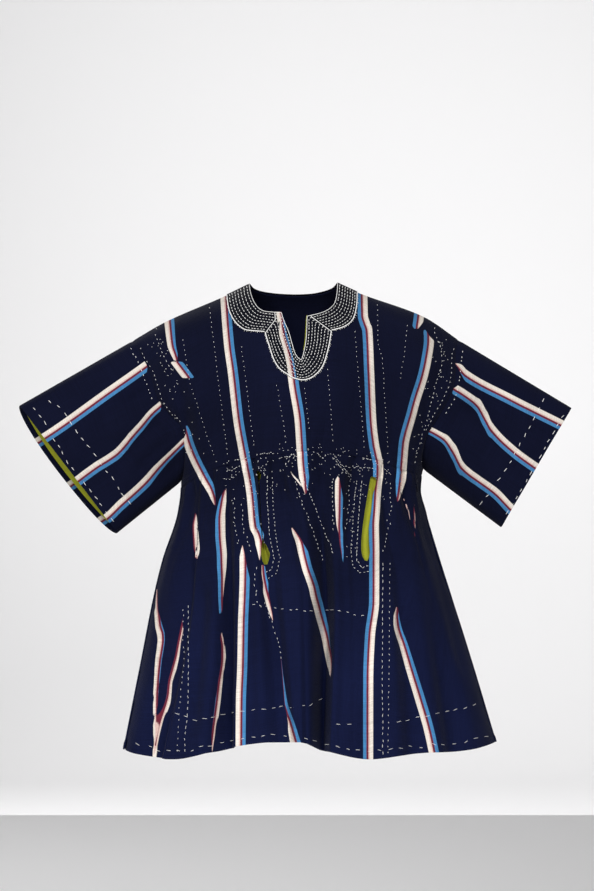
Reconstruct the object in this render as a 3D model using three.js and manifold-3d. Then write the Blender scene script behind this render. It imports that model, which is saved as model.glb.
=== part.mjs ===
// Fugu smock in its worn shape. Millimetres, +Z up, the wearer faces -Y, +X is to the right of someone facing it.
// The origin is the middle of the neck opening at shoulder height.
import {
  BufferGeometry, Float32BufferAttribute, Group, Mesh, MeshStandardMaterial, ShapeUtils, Vector2, Vector3,
} from 'three'
import Module from 'manifold-3d'

const wasm = await Module()
wasm.setup()
const { Manifold, Mesh: Solid } = wasm

// Cloth
const clothThick = 2.0 // handwoven cotton with its seam turnings
const facingThick = 1.5 // the dark cloth round the neck, and the green cloth inside cuffs and pockets
const layerGap = 0.3 // between two layers that lie on each other
const seamHalfGap = 0.2 // each piece stops this far short of a seam line
const armholeHalfGap = 0.25 // a little more round the armhole, and twice this where it turns at the underarm

// Sizes were taken from a full-size front drawing, seen from here. What is nearer than the side seams is drawn
// larger, so `stand` brings a drawn point back to its real size at its depth.
const sight = { away: 4000, x: 1.6, z: -258 }
const stand = (x, z, y) => {
  const k = 1 + y / sight.away
  return new Vector3(sight.x + (x - sight.x) * k, y, sight.z + (z - sight.z) * k)
}

// A smooth line through the rows of a table that never swings past them: read `to` at a value of `from`
const line = (rows, from, to) => {
  const a = rows.map((r) => r[from])
  const b = rows.map((r) => r[to])
  const n = a.length
  const d = a.slice(1).map((v, i) => (b[i + 1] - b[i]) / (v - a[i]))
  const m = a.map((_, i) => {
    if (i === 0) return d[0]
    if (i === n - 1) return d[n - 2]
    return d[i - 1] * d[i] <= 0 ? 0 : (2 * d[i - 1] * d[i]) / (d[i - 1] + d[i])
  })
  return (v) => {
    let i = 0
    while (i < n - 2 && v > a[i + 1]) i++
    const h = a[i + 1] - a[i]
    const t = Math.min(1, Math.max(0, (v - a[i]) / h))
    const t2 = t * t
    const t3 = t2 * t
    return b[i] * (2 * t3 - 3 * t2 + 1) + m[i] * h * (t3 - 2 * t2 + t)
      + b[i + 1] * (3 * t2 - 2 * t3) + m[i + 1] * h * (t3 - t2)
  }
}
const lerp = (a, b, t) => a + (b - a) * t

// Level sections of the body, neck to hem: side edges, and how far front and back stand from the side seams
const sections = [
  { z: -770, left: -281, right: 331, front: 206, back: 186 },
  { z: -600, left: -247, right: 280, front: 180, back: 163 },
  { z: -499, left: -227, right: 249, front: 160, back: 146 },
  { z: -442, left: -213, right: 231, front: 148, back: 135 },
  { z: -365, left: -188, right: 208, front: 130, back: 119 },
  { z: -330, left: -184, right: 199, front: 122, back: 112 },
  { z: -300, left: -184, right: 202, front: 120, back: 110 },
  { z: -260, left: -191, right: 218, front: 121, back: 112 },
  { z: -224, left: -207, right: 246, front: 121, back: 113 },
  { z: -190, left: -246, right: 275, front: 120, back: 112 },
  { z: -150, left: -282, right: 290, front: 117, back: 110 },
  { z: -91, left: -335, right: 335, front: 112, back: 104 },
  { z: 20, left: -345, right: 345, front: 98, back: 92 },
]
const leftAt = line(sections, 'z', 'left')
const rightAt = line(sections, 'z', 'right')
const depthAt = { front: line(sections, 'z', 'front'), back: line(sections, 'z', 'back') }
const middle = 5 // x of the body's middle plane, between its two side seams
const squareness = 2.2 // 2 would make each section an ellipse
const facing = { front: -1, back: 1 } // which way y runs on each side

// Shoulder seam, drawn from the front, with the line that carries it across the neck
const shoulders = [
  { x: -262, z: -91 }, { x: -210, z: -61 }, { x: -107, z: -16 }, { x: -74, z: 0 }, { x: -40, z: 4 },
  { x: 32, z: 5 }, { x: 66, z: 1.6 }, { x: 98, z: -13 }, { x: 204, z: -52 }, { x: 261, z: -90 },
]
const shoulderAt = line(shoulders, 'x', 'z')
const shoulderRound = { neck: 150, arm: 80 } // drop in which the cloth rounds from the top of the shoulder to upright
const roundAt = (x) => lerp(shoulderRound.neck, shoulderRound.arm, Math.min(1, Math.abs(x) / 262))

// Depth of the cloth at a drawn point: the level section, rounded off at the shoulder
const bodyDepth = (x, z, side) => {
  const edge = x < middle ? leftAt(z) : rightAt(z)
  const s = Math.min(1, Math.abs((x - middle) / (edge - middle)))
  const drop = Math.min(1, Math.max(0, shoulderAt(x) - z) / roundAt(x))
  return facing[side] * depthAt[side](z) * (1 - s ** squareness) ** (1 / squareness) * Math.sqrt(1 - (1 - drop) ** 2)
}

// Armhole seam from shoulder to underarm, drawn from the front, with its depth in front of the side seams.
// The back follows the same line at the same depth behind.
const armholes = {
  left: [
    { x: -262, z: -91, y: 0 }, { x: -259, z: -96, y: 15 }, { x: -251, z: -110, y: 31 }, { x: -238, z: -133, y: 45 },
    { x: -230, z: -158, y: 53 }, { x: -222, z: -182, y: 57 }, { x: -205, z: -205, y: 59 }, { x: -186, z: -226, y: 58 },
    { x: -180, z: -250, y: 50 }, { x: -179, z: -275, y: 38 }, { x: -181, z: -300, y: 22 }, { x: -184, z: -316, y: 0 },
  ],
  right: [
    { x: 261, z: -90, y: 0 }, { x: 259, z: -97, y: 16 }, { x: 256, z: -112, y: 32 }, { x: 256, z: -138, y: 46 },
    { x: 253, z: -166, y: 55 }, { x: 242, z: -190, y: 57 }, { x: 226, z: -217, y: 55 }, { x: 212, z: -240, y: 49 },
    { x: 205, z: -262, y: 38 }, { x: 202.5, z: -281, y: 22 }, { x: 203.2, z: -296, y: 0 },
  ],
}

// Seam where the skirt is gathered into the body, drawn from the front; the back runs nearly level
const gatherSeam = {
  front: line([
    { x: -184, z: -325 }, { x: -150, z: -303 }, { x: -113, z: -290 }, { x: -74, z: -279 }, { x: 0, z: -269 },
    { x: 35, z: -266 }, { x: 75, z: -272 }, { x: 120, z: -279 }, { x: 150, z: -290 }, { x: 201, z: -306 },
  ], 'x', 'z'),
  back: line([
    { x: -184, z: -325 }, { x: -130, z: -302 }, { x: 5, z: -286 }, { x: 150, z: -294 }, { x: 201, z: -306 },
  ], 'x', 'z'),
}
const seamEnd = { left: { x: leftAt(-325), z: -325 }, right: { x: rightAt(-306), z: -306 } }

// Rows of the body pieces from shoulder to gather seam, as shares of the way down; the last but one is the underarm
const bodyRows = [0, 0.05, 0.12, 0.2, 0.29, 0.38, 0.47, 0.56, 0.65, 0.74, 0.83, 0.93, 1]
const underarmRow = bodyRows.length - 2

const armholePoint = (hand, share) => {
  const rows = armholes[hand]
  const at = [0]
  for (let i = 1; i < rows.length; i++) {
    at.push(at[i - 1] + Math.hypot(rows[i].x - rows[i - 1].x, rows[i].z - rows[i - 1].z, rows[i].y - rows[i - 1].y))
  }
  const table = rows.map((r, i) => ({ ...r, at: at[i] / at[at.length - 1] }))
  return { x: line(table, 'at', 'x')(share), z: line(table, 'at', 'z')(share), y: line(table, 'at', 'y')(share) }
}
const bodyEdge = (hand, v) => {
  const under = bodyRows[underarmRow]
  if (v <= under) return armholePoint(hand, v / under)
  const t = (v - under) / (1 - under)
  const a = armholePoint(hand, 1)
  return { x: lerp(a.x, seamEnd[hand].x, t), z: lerp(a.z, seamEnd[hand].z, t), y: 0 }
}

// x on a level section at an angle from the middle, -90 at the left side seam to 90 at the right
const sectionX = (angle, z) => {
  const s = Math.sign(angle) * Math.abs(Math.sin(angle)) ** (2 / squareness)
  return middle + (s < 0 ? middle - leftAt(z) : rightAt(z) - middle) * s
}

// A body piece: a patch between shoulder line, both armholes and gather seam, with the depth of the body form.
// Its side columns are set onto the armhole seams.
const bodyGrid = (side, columns) => bodyRows.map((v) => {
  const l = bodyEdge('left', v)
  const r = bodyEdge('right', v)
  const corner = [shoulders[0], shoulders[shoulders.length - 1], seamEnd.left, seamEnd.right]
  const row = []
  for (let i = 0; i <= columns; i++) {
    const u = i / columns
    const spread = 0.6 * u + 0.4 * (0.5 - 0.5 * Math.cos(Math.PI * u))
    const topX = lerp(shoulders[0].x, shoulders[shoulders.length - 1].x, spread)
    const top = { x: topX, z: shoulderAt(topX) }
    const angle = (u - 0.5) * Math.PI
    let lowX = sectionX(angle, -300)
    for (let k = 0; k < 4; k++) lowX = sectionX(angle, gatherSeam[side](lowX))
    const low = i === 0 ? seamEnd.left : i === columns ? seamEnd.right : { x: lowX, z: gatherSeam[side](lowX) }
    const w = lerp(spread, (sectionX(angle, -300) - leftAt(-300)) / (rightAt(-300) - leftAt(-300)), v)
    const mix = (key) => lerp(top[key], low[key], v) + lerp(l[key], r[key], w)
      - lerp(lerp(corner[0][key], corner[1][key], w), lerp(corner[2][key], corner[3][key], w), v)
    const x = mix('x')
    const z = mix('z')
    let y = bodyDepth(x, z, side)
    const toLeft = facing[side] * l.y - bodyDepth(l.x, l.z, side)
    const toRight = facing[side] * r.y - bodyDepth(r.x, r.z, side)
    y += (1 - w) ** 8 * toLeft + w ** 8 * toRight
    if (v === 0 || (v > bodyRows[underarmRow - 1] && (i === 0 || i === columns))) y = 0
    row.push(stand(x, z, y))
  }
  return row
})

// The skirt's folds. Each row is one fold line from gather seam to hem: its drawn x at seam, half-way and hem,
// and how far it stands out from the section there. Ridges are positive, valleys negative.
const frontFolds = [
  { name: 'left side seam', x: [-184, -232, -275], out: [0, 0, 0] },
  { name: 'side ridge', x: [-169, -213, -254], out: [4, 7, 12] },
  { name: 'side valley', x: [-155, -176, -222], out: [-4, -11, -16] },
  { name: 'plain fold left', x: [-145, -163, -202], out: [5, 9, 13] },
  { name: 'plain fold right', x: [-128, -130, -150], out: [-4, 9, 14] },
  { name: 'deep valley', x: [-113, -110, -113], out: [5, -13, -20] },
  { name: 'striped fold left', x: [-101, -94, -97], out: [-4, 5, 7] },
  { name: 'striped fold right', x: [-85, -72, -72], out: [5, 3, 3] },
  { name: 'pocket fold', x: [-72, -60, -52], out: [-4, 8, 11] },
  { name: 'left pocket edge', x: [-61, -45, -22], out: [4, -3, -6] },
  { name: 'left pocket far edge', x: [-53, -33, -10], out: [4, -6, -10] },
  { name: 'middle fold left', x: [-38, -17, 2], out: [-4, 9, 11] },
  { name: 'middle fold right', x: [-16, 7, 17], out: [5, 9, 12] },
  { name: 'middle valley', x: [4, 29, 38], out: [-4, -19, -24] },
  { name: 'middle valley foot', x: [21, 47, 48], out: [5, -18, -22] },
  { name: 'broad fold left', x: [46, 66, 62], out: [-4, 12, 17] },
  { name: 'broad fold', x: [62, 82, 80], out: [5, 11, 17] },
  { name: 'broad fold middle', x: [86, 92, 92], out: [-4, 8, 15] },
  { name: 'right pocket edge', x: [121, 106, 104], out: [3, 7, 13] },
  { name: 'right pocket far edge', x: [134, 119, 120], out: [3, 6, 12] },
  { name: 'broad fold right', x: [146, 150, 156], out: [-4, 5, 11] },
  { name: 'gore valley', x: [157, 170, 190], out: [5, -5, -7] },
  { name: 'gore fold', x: [168, 196, 222], out: [-4, 6, 10] },
  { name: 'right valley', x: [180, 221, 254], out: [4, -3, -9] },
  { name: 'right ridge', x: [191, 241, 288], out: [-2, 4, 8] },
  { name: 'right side seam', x: [201, 256, 322], out: [0, 0, 0] },
]
const backFolds = [
  { name: 'left side seam', x: [-184, -232, -275], out: [0, 0, 0] },
  { name: 'back ridge 1', x: [-165, -200, -245], out: [5, 8, 12] },
  { name: 'back valley 1', x: [-145, -170, -208], out: [-4, -9, -13] },
  { name: 'back ridge 2', x: [-122, -138, -165], out: [5, 9, 14] },
  { name: 'back valley 2', x: [-98, -105, -122], out: [-4, -10, -15] },
  { name: 'back ridge 3', x: [-75, -72, -84], out: [5, 9, 13] },
  { name: 'back valley 3', x: [-50, -44, -48], out: [-4, -9, -13] },
  { name: 'back ridge 4', x: [-24, -16, -14], out: [5, 9, 15] },
  { name: 'back valley 4', x: [2, 14, 20], out: [-4, -10, -16] },
  { name: 'back ridge 5', x: [28, 46, 56], out: [5, 9, 14] },
  { name: 'back valley 5', x: [54, 78, 94], out: [-4, -9, -14] },
  { name: 'back ridge 6', x: [80, 110, 132], out: [5, 9, 14] },
  { name: 'back valley 6', x: [106, 142, 172], out: [-4, -10, -15] },
  { name: 'back ridge 7', x: [132, 174, 212], out: [5, 9, 14] },
  { name: 'back valley 7', x: [158, 206, 254], out: [-4, -9, -12] },
  { name: 'back ridge 8', x: [182, 234, 290], out: [5, 7, 10] },
  { name: 'right side seam', x: [201, 256, 322], out: [0, 0, 0] },
]

// Drawn hem; at the back it is level when it stands at its depth
const hem = {
  front: line([
    { x: -275, z: -741 }, { x: -224, z: -758 }, { x: -192, z: -760 }, { x: -133, z: -749 }, { x: -99, z: -740 },
    { x: -37, z: -733 }, { x: 6, z: -733 }, { x: 51, z: -748 }, { x: 117, z: -760 }, { x: 170, z: -754 },
    { x: 218, z: -749 }, { x: 256, z: -748 }, { x: 322, z: -731 },
  ], 'x', 'z'),
  back: line([{ x: -275, z: -741 }, { x: -160, z: -722 }, { x: 20, z: -715 }, { x: 210, z: -717 }, { x: 322, z: -731 }], 'x', 'z'),
}
const foldLevels = [0, 0.52, 1] // where the three sizes of a fold are taken
const gatherStart = 0.05 // the gathers are flat at the seam and full this share of the way down

// The point at a share of the way along a row of points
const along = (row, share) => {
  const at = share * (row.length - 1)
  const i = Math.min(row.length - 2, Math.floor(at))
  return row[i].clone().lerp(row[i + 1], at - i)
}

// Angle on the section of a drawn x
const sectionAngle = (x, z) => {
  const edge = x < middle ? middle - leftAt(z) : rightAt(z) - middle
  const s = Math.max(-1, Math.min(1, (x - middle) / edge))
  return Math.asin(Math.sign(s) * Math.abs(s) ** (squareness / 2))
}

// A skirt piece: on each fold line and on the columns between, the level section with the fold's height added
// square to it. Heights ease from one fold line to the next. Its top row lies along the body's lower edge.
const skirtGrid = (side, folds, rows, perFold, lowerEdge) => {
  const read = (values) => line(values.map((v, i) => ({ at: foldLevels[i], v })), 'at', 'v')
  const rails = folds.map((f) => ({ x: read(f.x), out: read(f.out) }))
  const last = rails.length - 1
  const columns = []
  for (let r = 0; r < last; r++) for (let k = 0; k < perFold[r]; k++) columns.push({ r, t: k / perFold[r] })
  columns.push({ r: last - 1, t: 1 })
  const angleAt = (column, v, z) => {
    const a = [0, 1].map((k) => {
      const r = column.r + k
      return r === 0 ? -Math.PI / 2 : r === last ? Math.PI / 2 : sectionAngle(rails[r].x(v), z)
    })
    return lerp(a[0], a[1], column.t)
  }
  const settle = (column, v, edge) => {
    let x = rails[column.r].x(v)
    for (let k = 0; k < 6; k++) x = sectionX(angleAt(column, v, edge(x)), edge(x))
    return edge(x)
  }
  const ends = columns.map((c) => [settle(c, 0, gatherSeam[side]), settle(c, 1, hem[side])])
  return rows.map((v) => columns.map((c, i) => {
    const z = lerp(ends[i][0], ends[i][1], v)
    const angle = angleAt(c, v, z)
    if (v === 0) return along(lowerEdge, angle / Math.PI + 0.5)
    const sin = Math.sin(angle)
    const cos = Math.max(0, Math.cos(angle))
    const w = sin < 0 ? middle - leftAt(z) : rightAt(z) - middle
    const d = depthAt[side](z)
    const sx = Math.sign(sin) * Math.abs(sin) ** (2 / squareness)
    const sy = cos ** (2 / squareness)
    const out = new Vector2(Math.sign(sx) * Math.abs(sx) ** (squareness - 1) / w, sy ** (squareness - 1) / d).normalize()
    const ease = 0.5 - 0.5 * Math.cos(Math.PI * c.t)
    const height = lerp(rails[c.r].out(v), rails[c.r + 1].out(v), ease) * Math.min(1, v / gatherStart)
    return stand(middle + w * sx + out.x * height, z, facing[side] * (d * sy + out.y * height))
  }))
}

// Sleeves. The cuff's two corners are drawn from the front; its back edge may hang past the front one.
const sleeves = {
  left: { top: { x: -442, z: -194 }, bottom: { x: -286, z: -398 }, halfDepth: 42, backHangs: 16 },
  right: { top: { x: 441, z: -198 }, bottom: { x: 328, z: -389 }, halfDepth: 42, backHangs: 0 },
}
// Soft folds along each sleeve: where they start on the armhole and end on the cuff, as shares of the way from
// shoulder to underarm round the front (1 to 2 is round the back), their height there, and how wide they are
const sleeveFolds = {
  left: [
    { armhole: 0.62, cuff: 0.3, start: 2, end: 5, wide: 0.12 },
    { armhole: 0.86, cuff: 0.66, start: -9, end: -3, wide: 0.1 },
    { armhole: 1.3, cuff: 1.45, start: 4, end: 6, wide: 0.14 },
  ],
  right: [
    { armhole: 0.58, cuff: 0.34, start: -8, end: -2, wide: 0.1 },
    { armhole: 0.78, cuff: 0.62, start: 6, end: 3, wide: 0.12 },
    { armhole: 1.35, cuff: 1.5, start: 5, end: 6, wide: 0.14 },
  ],
}
const sleeveRows = [0, 0.13, 0.3, 0.48, 0.64, 0.76, 1] // the cuff facing covers the last of them

// A sleeve: straight lines from the armhole ring to the cuff ring, a flattened oval, with the soft folds added
const sleeveGrid = (hand, ring) => {
  const { top, bottom, halfDepth, backHangs } = sleeves[hand]
  const out = new Vector2(bottom.z - top.z, top.x - bottom.x).normalize()
  if (out.x * top.x < 0) out.negate()
  const n = ring.length
  return sleeveRows.map((v) => ring.map((p, j) => {
    const share = (2 * j) / n
    const angle = Math.PI * share
    const hang = Math.max(0, -Math.sin(angle)) * backHangs
    const along = 0.5 - 0.5 * Math.cos(angle)
    const cuff = stand(
      lerp(top.x, bottom.x, along) + out.x * hang,
      lerp(top.z, bottom.z, along) + out.y * hang,
      -halfDepth * Math.sin(angle),
    )
    const q = p.clone().lerp(cuff, v)
    const swell = sleeveFolds[hand].reduce((sum, f) => {
      const off = (share - lerp(f.armhole, f.cuff, v)) / f.wide
      return sum + lerp(f.start, f.end, v) * Math.exp(-off * off)
    }, 0)
    q.y += -Math.sign(Math.sin(angle)) * swell * Math.min(1, v / 0.13) * Math.abs(Math.sin(angle)) ** 0.5
    return q
  }))
}

// Directions square to a grid, pointing out of the garment
const squareTo = (grid, flip, wrap) => grid.map((row, j) => row.map((_, i) => {
  const n = row.length
  const a = wrap ? row[(i + n - 1) % n] : row[Math.max(0, i - 1)]
  const b = wrap ? row[(i + 1) % n] : row[Math.min(n - 1, i + 1)]
  const up = grid[Math.max(0, j - 1)][i]
  const down = grid[Math.min(grid.length - 1, j + 1)][i]
  return b.clone().sub(a).cross(down.clone().sub(up)).multiplyScalar(flip).normalize()
}))
const level = (n) => n.setZ(0).normalize() // square to the garment's edge at the gather seam
const sideways = (n) => n.setY(0).normalize() // at seams that lie between front and back

const toward = (p, q) => q.clone().sub(p).setLength(seamHalfGap)

// Two layers of a grid, `outer` and `inner` from its points along their directions, closed round every edge.
// Cells that `keep` refuses are left out.
const plate = (grid, square, outer, inner, { wrap = false, keep = () => true, turn = false } = {}) => {
  const rows = grid.length - 1
  const n = grid[0].length
  const cells = wrap ? n : n - 1
  const points = []
  const triangles = []
  const number = new Map()
  const id = (j, i, layer) => {
    const key = `${j},${i % n},${layer}`
    if (!number.has(key)) {
      number.set(key, points.length / 3)
      const p = grid[j][i % n].clone().addScaledVector(square[j][i % n], layer ? inner : outer)
      points.push(p.x, p.y, p.z)
    }
    return number.get(key)
  }
  const tri = (a, b, c) => triangles.push(...(turn ? [a, c, b] : [a, b, c]))
  const held = (j, i) => j >= 0 && j < rows && (wrap || (i >= 0 && i < cells)) && keep(j, wrap ? (i + cells) % cells : i)
  for (let j = 0; j < rows; j++) {
    for (let i = 0; i < cells; i++) {
      if (!held(j, i)) continue
      for (const layer of [0, 1]) {
        const [a, b, c, d] = [id(j, i, layer), id(j, i + 1, layer), id(j + 1, i + 1, layer), id(j + 1, i, layer)]
        if (layer) {
          tri(a, c, b)
          tri(a, d, c)
        } else {
          tri(a, b, c)
          tri(a, c, d)
        }
      }
      const edges = [
        [held(j - 1, i), j, i + 1, j, i], [held(j + 1, i), j + 1, i, j + 1, i + 1],
        [held(j, i - 1), j, i, j + 1, i], [held(j, i + 1), j + 1, i + 1, j, i + 1],
      ]
      for (const [joined, j0, i0, j1, i1] of edges) {
        if (joined) continue
        const [a, b, c, d] = [id(j0, i0, 0), id(j1, i1, 0), id(j1, i1, 1), id(j0, i0, 1)]
        tri(a, b, c)
        tri(a, c, d)
      }
    }
  }
  return new Manifold(new Solid({
    numProp: 3, vertProperties: new Float32Array(points), triVerts: new Uint32Array(triangles),
  }))
}

// A block with a drawn outline, running from one depth to another, to cut the neck or to cut out a facing
const block = (outline, near, far) => {
  const flat = outline.map((p) => new Vector2(p.x, p.z))
  if (ShapeUtils.isClockWise(flat)) flat.reverse()
  const n = flat.length
  const points = [near, far].flatMap((y) => flat.flatMap((p) => stand(p.x, p.y, y).toArray()))
  const triangles = []
  for (const [a, b, c] of ShapeUtils.triangulateShape(flat, [])) triangles.push(a, b, c, n + a, n + c, n + b)
  for (let i = 0; i < n; i++) {
    const k = (i + 1) % n
    triangles.push(i, n + k, k, i, n + i, n + k)
  }
  return new Manifold(new Solid({
    numProp: 3, vertProperties: new Float32Array(points), triVerts: new Uint32Array(triangles),
  }))
}

// Neck, drawn from the front. The opening with its V slit, then the outer edges of the facing pieces.
const neckLeft = [
  { x: -73.6, z: 0 }, { x: -72.3, z: -9.6 }, { x: -68.8, z: -22.4 }, { x: -64, z: -32 }, { x: -56.8, z: -40 },
  { x: -48, z: -43.7 }, { x: -35.2, z: -44.8 },
]
const neckSlit = [
  { x: -24, z: -44.8 }, { x: -17.6, z: -60.8 }, { x: -11.2, z: -75.2 }, { x: -3.2, z: -104 }, { x: 8, z: -120 },
  { x: 12.8, z: -104 }, { x: 15.2, z: -91.2 }, { x: 17.6, z: -51.2 },
]
const neckRight = [
  { x: 25.6, z: -49.6 }, { x: 38.4, z: -46.4 }, { x: 49.6, z: -41.6 }, { x: 56.8, z: -36 }, { x: 61.6, z: -28.8 },
  { x: 64.5, z: -14.4 }, { x: 65.6, z: 1.6 },
]
const neckBack = [
  { x: -73.6, z: 0 }, { x: -66, z: -8 }, { x: -50, z: -13 }, { x: -25, z: -16 }, { x: 0, z: -17 }, { x: 22, z: -16 },
  { x: 44, z: -12 }, { x: 59, z: -6 }, { x: 65.6, z: 1.6 },
]
const facingEdge = {
  left: [
    { x: -110.4, z: -17.6 }, { x: -108.8, z: -33.6 }, { x: -105.6, z: -48 }, { x: -97.6, z: -60.8 },
    { x: -86.4, z: -71.4 }, { x: -68, z: -76.6 }, { x: -50.4, z: -76.8 },
  ],
  centre: [
    { x: -49.8, z: -78.2 }, { x: -43.2, z: -99.2 }, { x: -33.6, z: -125.6 }, { x: -25.4, z: -136.5 },
    { x: -14.4, z: -144 }, { x: -2, z: -150.4 }, { x: 11.2, z: -153.6 }, { x: 21, z: -151.6 }, { x: 28.8, z: -147.2 },
    { x: 37, z: -140 }, { x: 43.2, z: -131.2 }, { x: 49.6, z: -112.8 }, { x: 53.6, z: -97 }, { x: 57, z: -75.6 },
  ],
  right: [
    { x: 57.4, z: -74.6 }, { x: 67, z: -72.6 }, { x: 76.8, z: -68.8 }, { x: 85, z: -64.5 }, { x: 90.7, z: -57.6 },
    { x: 95, z: -46 }, { x: 97.1, z: -35.2 }, { x: 97.6, z: -12.8 },
  ],
  back: [
    { x: -110.4, z: -17.6 }, { x: -97, z: -32 }, { x: -70, z: -39 }, { x: -35, z: -42 }, { x: 0, z: -43 },
    { x: 30, z: -42 }, { x: 62, z: -37 }, { x: 86, z: -28 }, { x: 97.6, z: -12.8 },
  ],
}
const facingSeam = { left: { x: -33.6, z: -57.6 }, right: { x: 25.2, z: -52.8 } } // where the seams turn off the neck
const above = 30 // the outlines run past the shoulder line by this much
const across = (p, dx) => ({ x: p.x + dx, z: p.z })

// Body pieces
const front = bodyGrid('front', 36)
const back = bodyGrid('back', 26)
const frontSquare = squareTo(front, -1)
const backSquare = squareTo(back, 1)

// Armhole rings run shoulder, front, underarm, back; each side has a point half-way along every edge too
const ringOf = (hand, from) => {
  const i = (grid) => (hand === 'left' ? 0 : grid[0].length - 1)
  const down = []
  for (let j = 0; j <= underarmRow; j++) down.push(from.front[j][i(from.front)])
  for (let j = underarmRow - 1; j > 0; j--) down.push(from.back[j][i(from.back)])
  return down.flatMap((p, k) => [p.clone(), p.clone().lerp(down[(k + 1) % down.length], 0.5)])
}
const sleeveOf = { left: sleeveGrid('left', ringOf('left', { front, back })), right: sleeveGrid('right', ringOf('right', { front, back })) }
const sleeveSquare = { left: squareTo(sleeveOf.left, -1, true), right: squareTo(sleeveOf.right, 1, true) }

// Where two pieces meet, both are cut square to the same direction
for (const hand of ['left', 'right']) {
  const grids = [[front, frontSquare], [back, backSquare]]
  const ring = sleeveSquare[hand][0]
  const n = ring.length
  grids.forEach(([grid, square], s) => {
    const i = hand === 'left' ? 0 : grid[0].length - 1
    for (let j = 0; j <= underarmRow; j++) {
      const k = s === 0 ? 2 * j : (n - 2 * j) % n
      const shared = square[j][i].clone().add(ring[k]).normalize()
      if (j === 0 || j === underarmRow) sideways(shared)
      square[j][i].copy(shared)
      ring[k].copy(shared)
    }
    for (let j = underarmRow + 1; j < grid.length; j++) sideways(square[j][i])
  })
  for (let k = 1; k < n; k += 2) ring[k].copy(ring[k - 1]).lerp(ring[(k + 1) % n], 0.5)

  // Body and sleeve step back from the seam, each to its own side
  const points = sleeveOf[hand][0]
  const steps = points.map((_, k) => {
    const a = points[(k + n - (k % 2 ? 1 : 2)) % n]
    const b = points[(k + (k % 2 ? 1 : 2)) % n]
    return b.clone().sub(a).cross(ring[k]).multiplyScalar(hand === 'left' ? -1 : 1).setLength(Math.abs(k - n / 2) > 3 ? armholeHalfGap : 2 * armholeHalfGap)
  })
  for (let k = 1; k < n; k += 2) steps[k].copy(steps[k - 1]).lerp(steps[(k + 1) % n], 0.5)
  grids.forEach(([grid], s) => {
    const i = hand === 'left' ? 0 : grid[0].length - 1
    for (let j = 0; j <= underarmRow; j++) grid[j][i].add(steps[s === 0 ? 2 * j : (n - 2 * j) % n])
  })
  points.forEach((p, k) => p.sub(steps[k]))
}
for (const square of [frontSquare, backSquare]) {
  square[0].forEach(sideways)
  square[square.length - 1].forEach(level)
}

// Skirt pieces; the pocket slits lie between two rows and two fold lines
const skirtRows = [0, 0.03, 0.07, 0.13, 0.2, 0.27, 0.345, 0.46, 0.59, 0.73, 0.87, 1]
const slitRows = { from: 2, to: 6 }
const backRows = [0, 0.03, 0.08, 0.17, 0.29, 0.43, 0.58, 0.73, 0.87, 1]
const perFrontFold = frontFolds.slice(1).map((f, i) => (/far edge/.test(f.name) ? 1 : i === 0 || i === frontFolds.length - 2 ? 4 : 3))
const perBackFold = backFolds.slice(1).map((_, i) => (i === 0 || i === backFolds.length - 2 ? 4 : 3))
const skirtFront = skirtGrid('front', frontFolds, skirtRows, perFrontFold, front[front.length - 1])
const skirtBack = skirtGrid('back', backFolds, backRows, perBackFold, back[back.length - 1])
const columnOf = (name) => perFrontFold.slice(0, frontFolds.findIndex((f) => f.name === name)).reduce((a, b) => a + b, 0)
const slit = { left: columnOf('left pocket edge'), right: columnOf('right pocket edge') }
const skirtFrontSquare = squareTo(skirtFront, -1)
const skirtBackSquare = squareTo(skirtBack, 1)
for (const square of [skirtFrontSquare, skirtBackSquare]) {
  square[0].forEach(level)
  for (const row of square) [row[0], row[row.length - 1]].forEach(sideways)
}
const inSlit = (j, i) => j >= slitRows.from && j < slitRows.to && (i === slit.left || i === slit.right)

// Every seam edge steps back by half the gap
const stepBack = (grid, edges) => {
  const last = grid.length - 1
  const end = grid[0].length - 1
  const moves = []
  grid.forEach((row, j) => row.forEach((p, i) => {
    const move = new Vector3()
    if (edges.gatheredTop && j === 0) move.z -= seamHalfGap
    if (edges.gatheredFoot && j === last) move.z += seamHalfGap
    if (edges.top && j === 0) move.add(toward(p, grid[1][i]))
    if (edges.sides && j >= edges.sides.from && i === 0) move.add(toward(p, row[1]))
    if (edges.sides && j >= edges.sides.from && i === end) move.add(toward(p, row[end - 1]))
    moves.push([p, move])
  }))
  for (const [p, move] of moves) p.add(move)
}
stepBack(front, { top: true, gatheredFoot: true, sides: { from: underarmRow } })
stepBack(back, { top: true, gatheredFoot: true, sides: { from: underarmRow } })
stepBack(skirtFront, { gatheredTop: true, sides: { from: 0 } })
stepBack(skirtBack, { gatheredTop: true, sides: { from: 0 } })

const navy = new MeshStandardMaterial({ color: 0x1a1c3c, roughness: 0.9 })
const dark = new MeshStandardMaterial({ color: 0x23232e, roughness: 0.9 })
const lime = new MeshStandardMaterial({ color: 0x8c9a2a, roughness: 0.9 })

const smock = new Group()
smock.name = 'fugu_smock'
const add = (name, solid, material) => {
  const mesh = solid.getMesh()
  const geometry = new BufferGeometry()
  geometry.setAttribute('position', new Float32BufferAttribute(Float32Array.from(mesh.vertProperties), 3))
  geometry.setIndex(Array.from(mesh.triVerts))
  const m = new Mesh(geometry, material)
  m.name = name
  smock.add(m)
}

const neckFront = block([{ x: -73.6, z: above }, ...neckLeft, ...neckSlit, ...neckRight, { x: 65.6, z: above }], -300, 20)
const neckBehind = block([{ x: -73.6, z: above }, ...neckBack, { x: 65.6, z: above }], -20, 300)
add('front_bodice', plate(front, frontSquare, 0, -clothThick, { turn: true }).subtract(neckFront), navy)
add('back_bodice', plate(back, backSquare, 0, -clothThick).subtract(neckBehind), navy)
add('skirt_front', plate(skirtFront, skirtFrontSquare, 0, -clothThick, { turn: true, keep: (j, i) => !inSlit(j, i) }), navy)
add('skirt_back', plate(skirtBack, skirtBackSquare, 0, -clothThick), navy)

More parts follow.
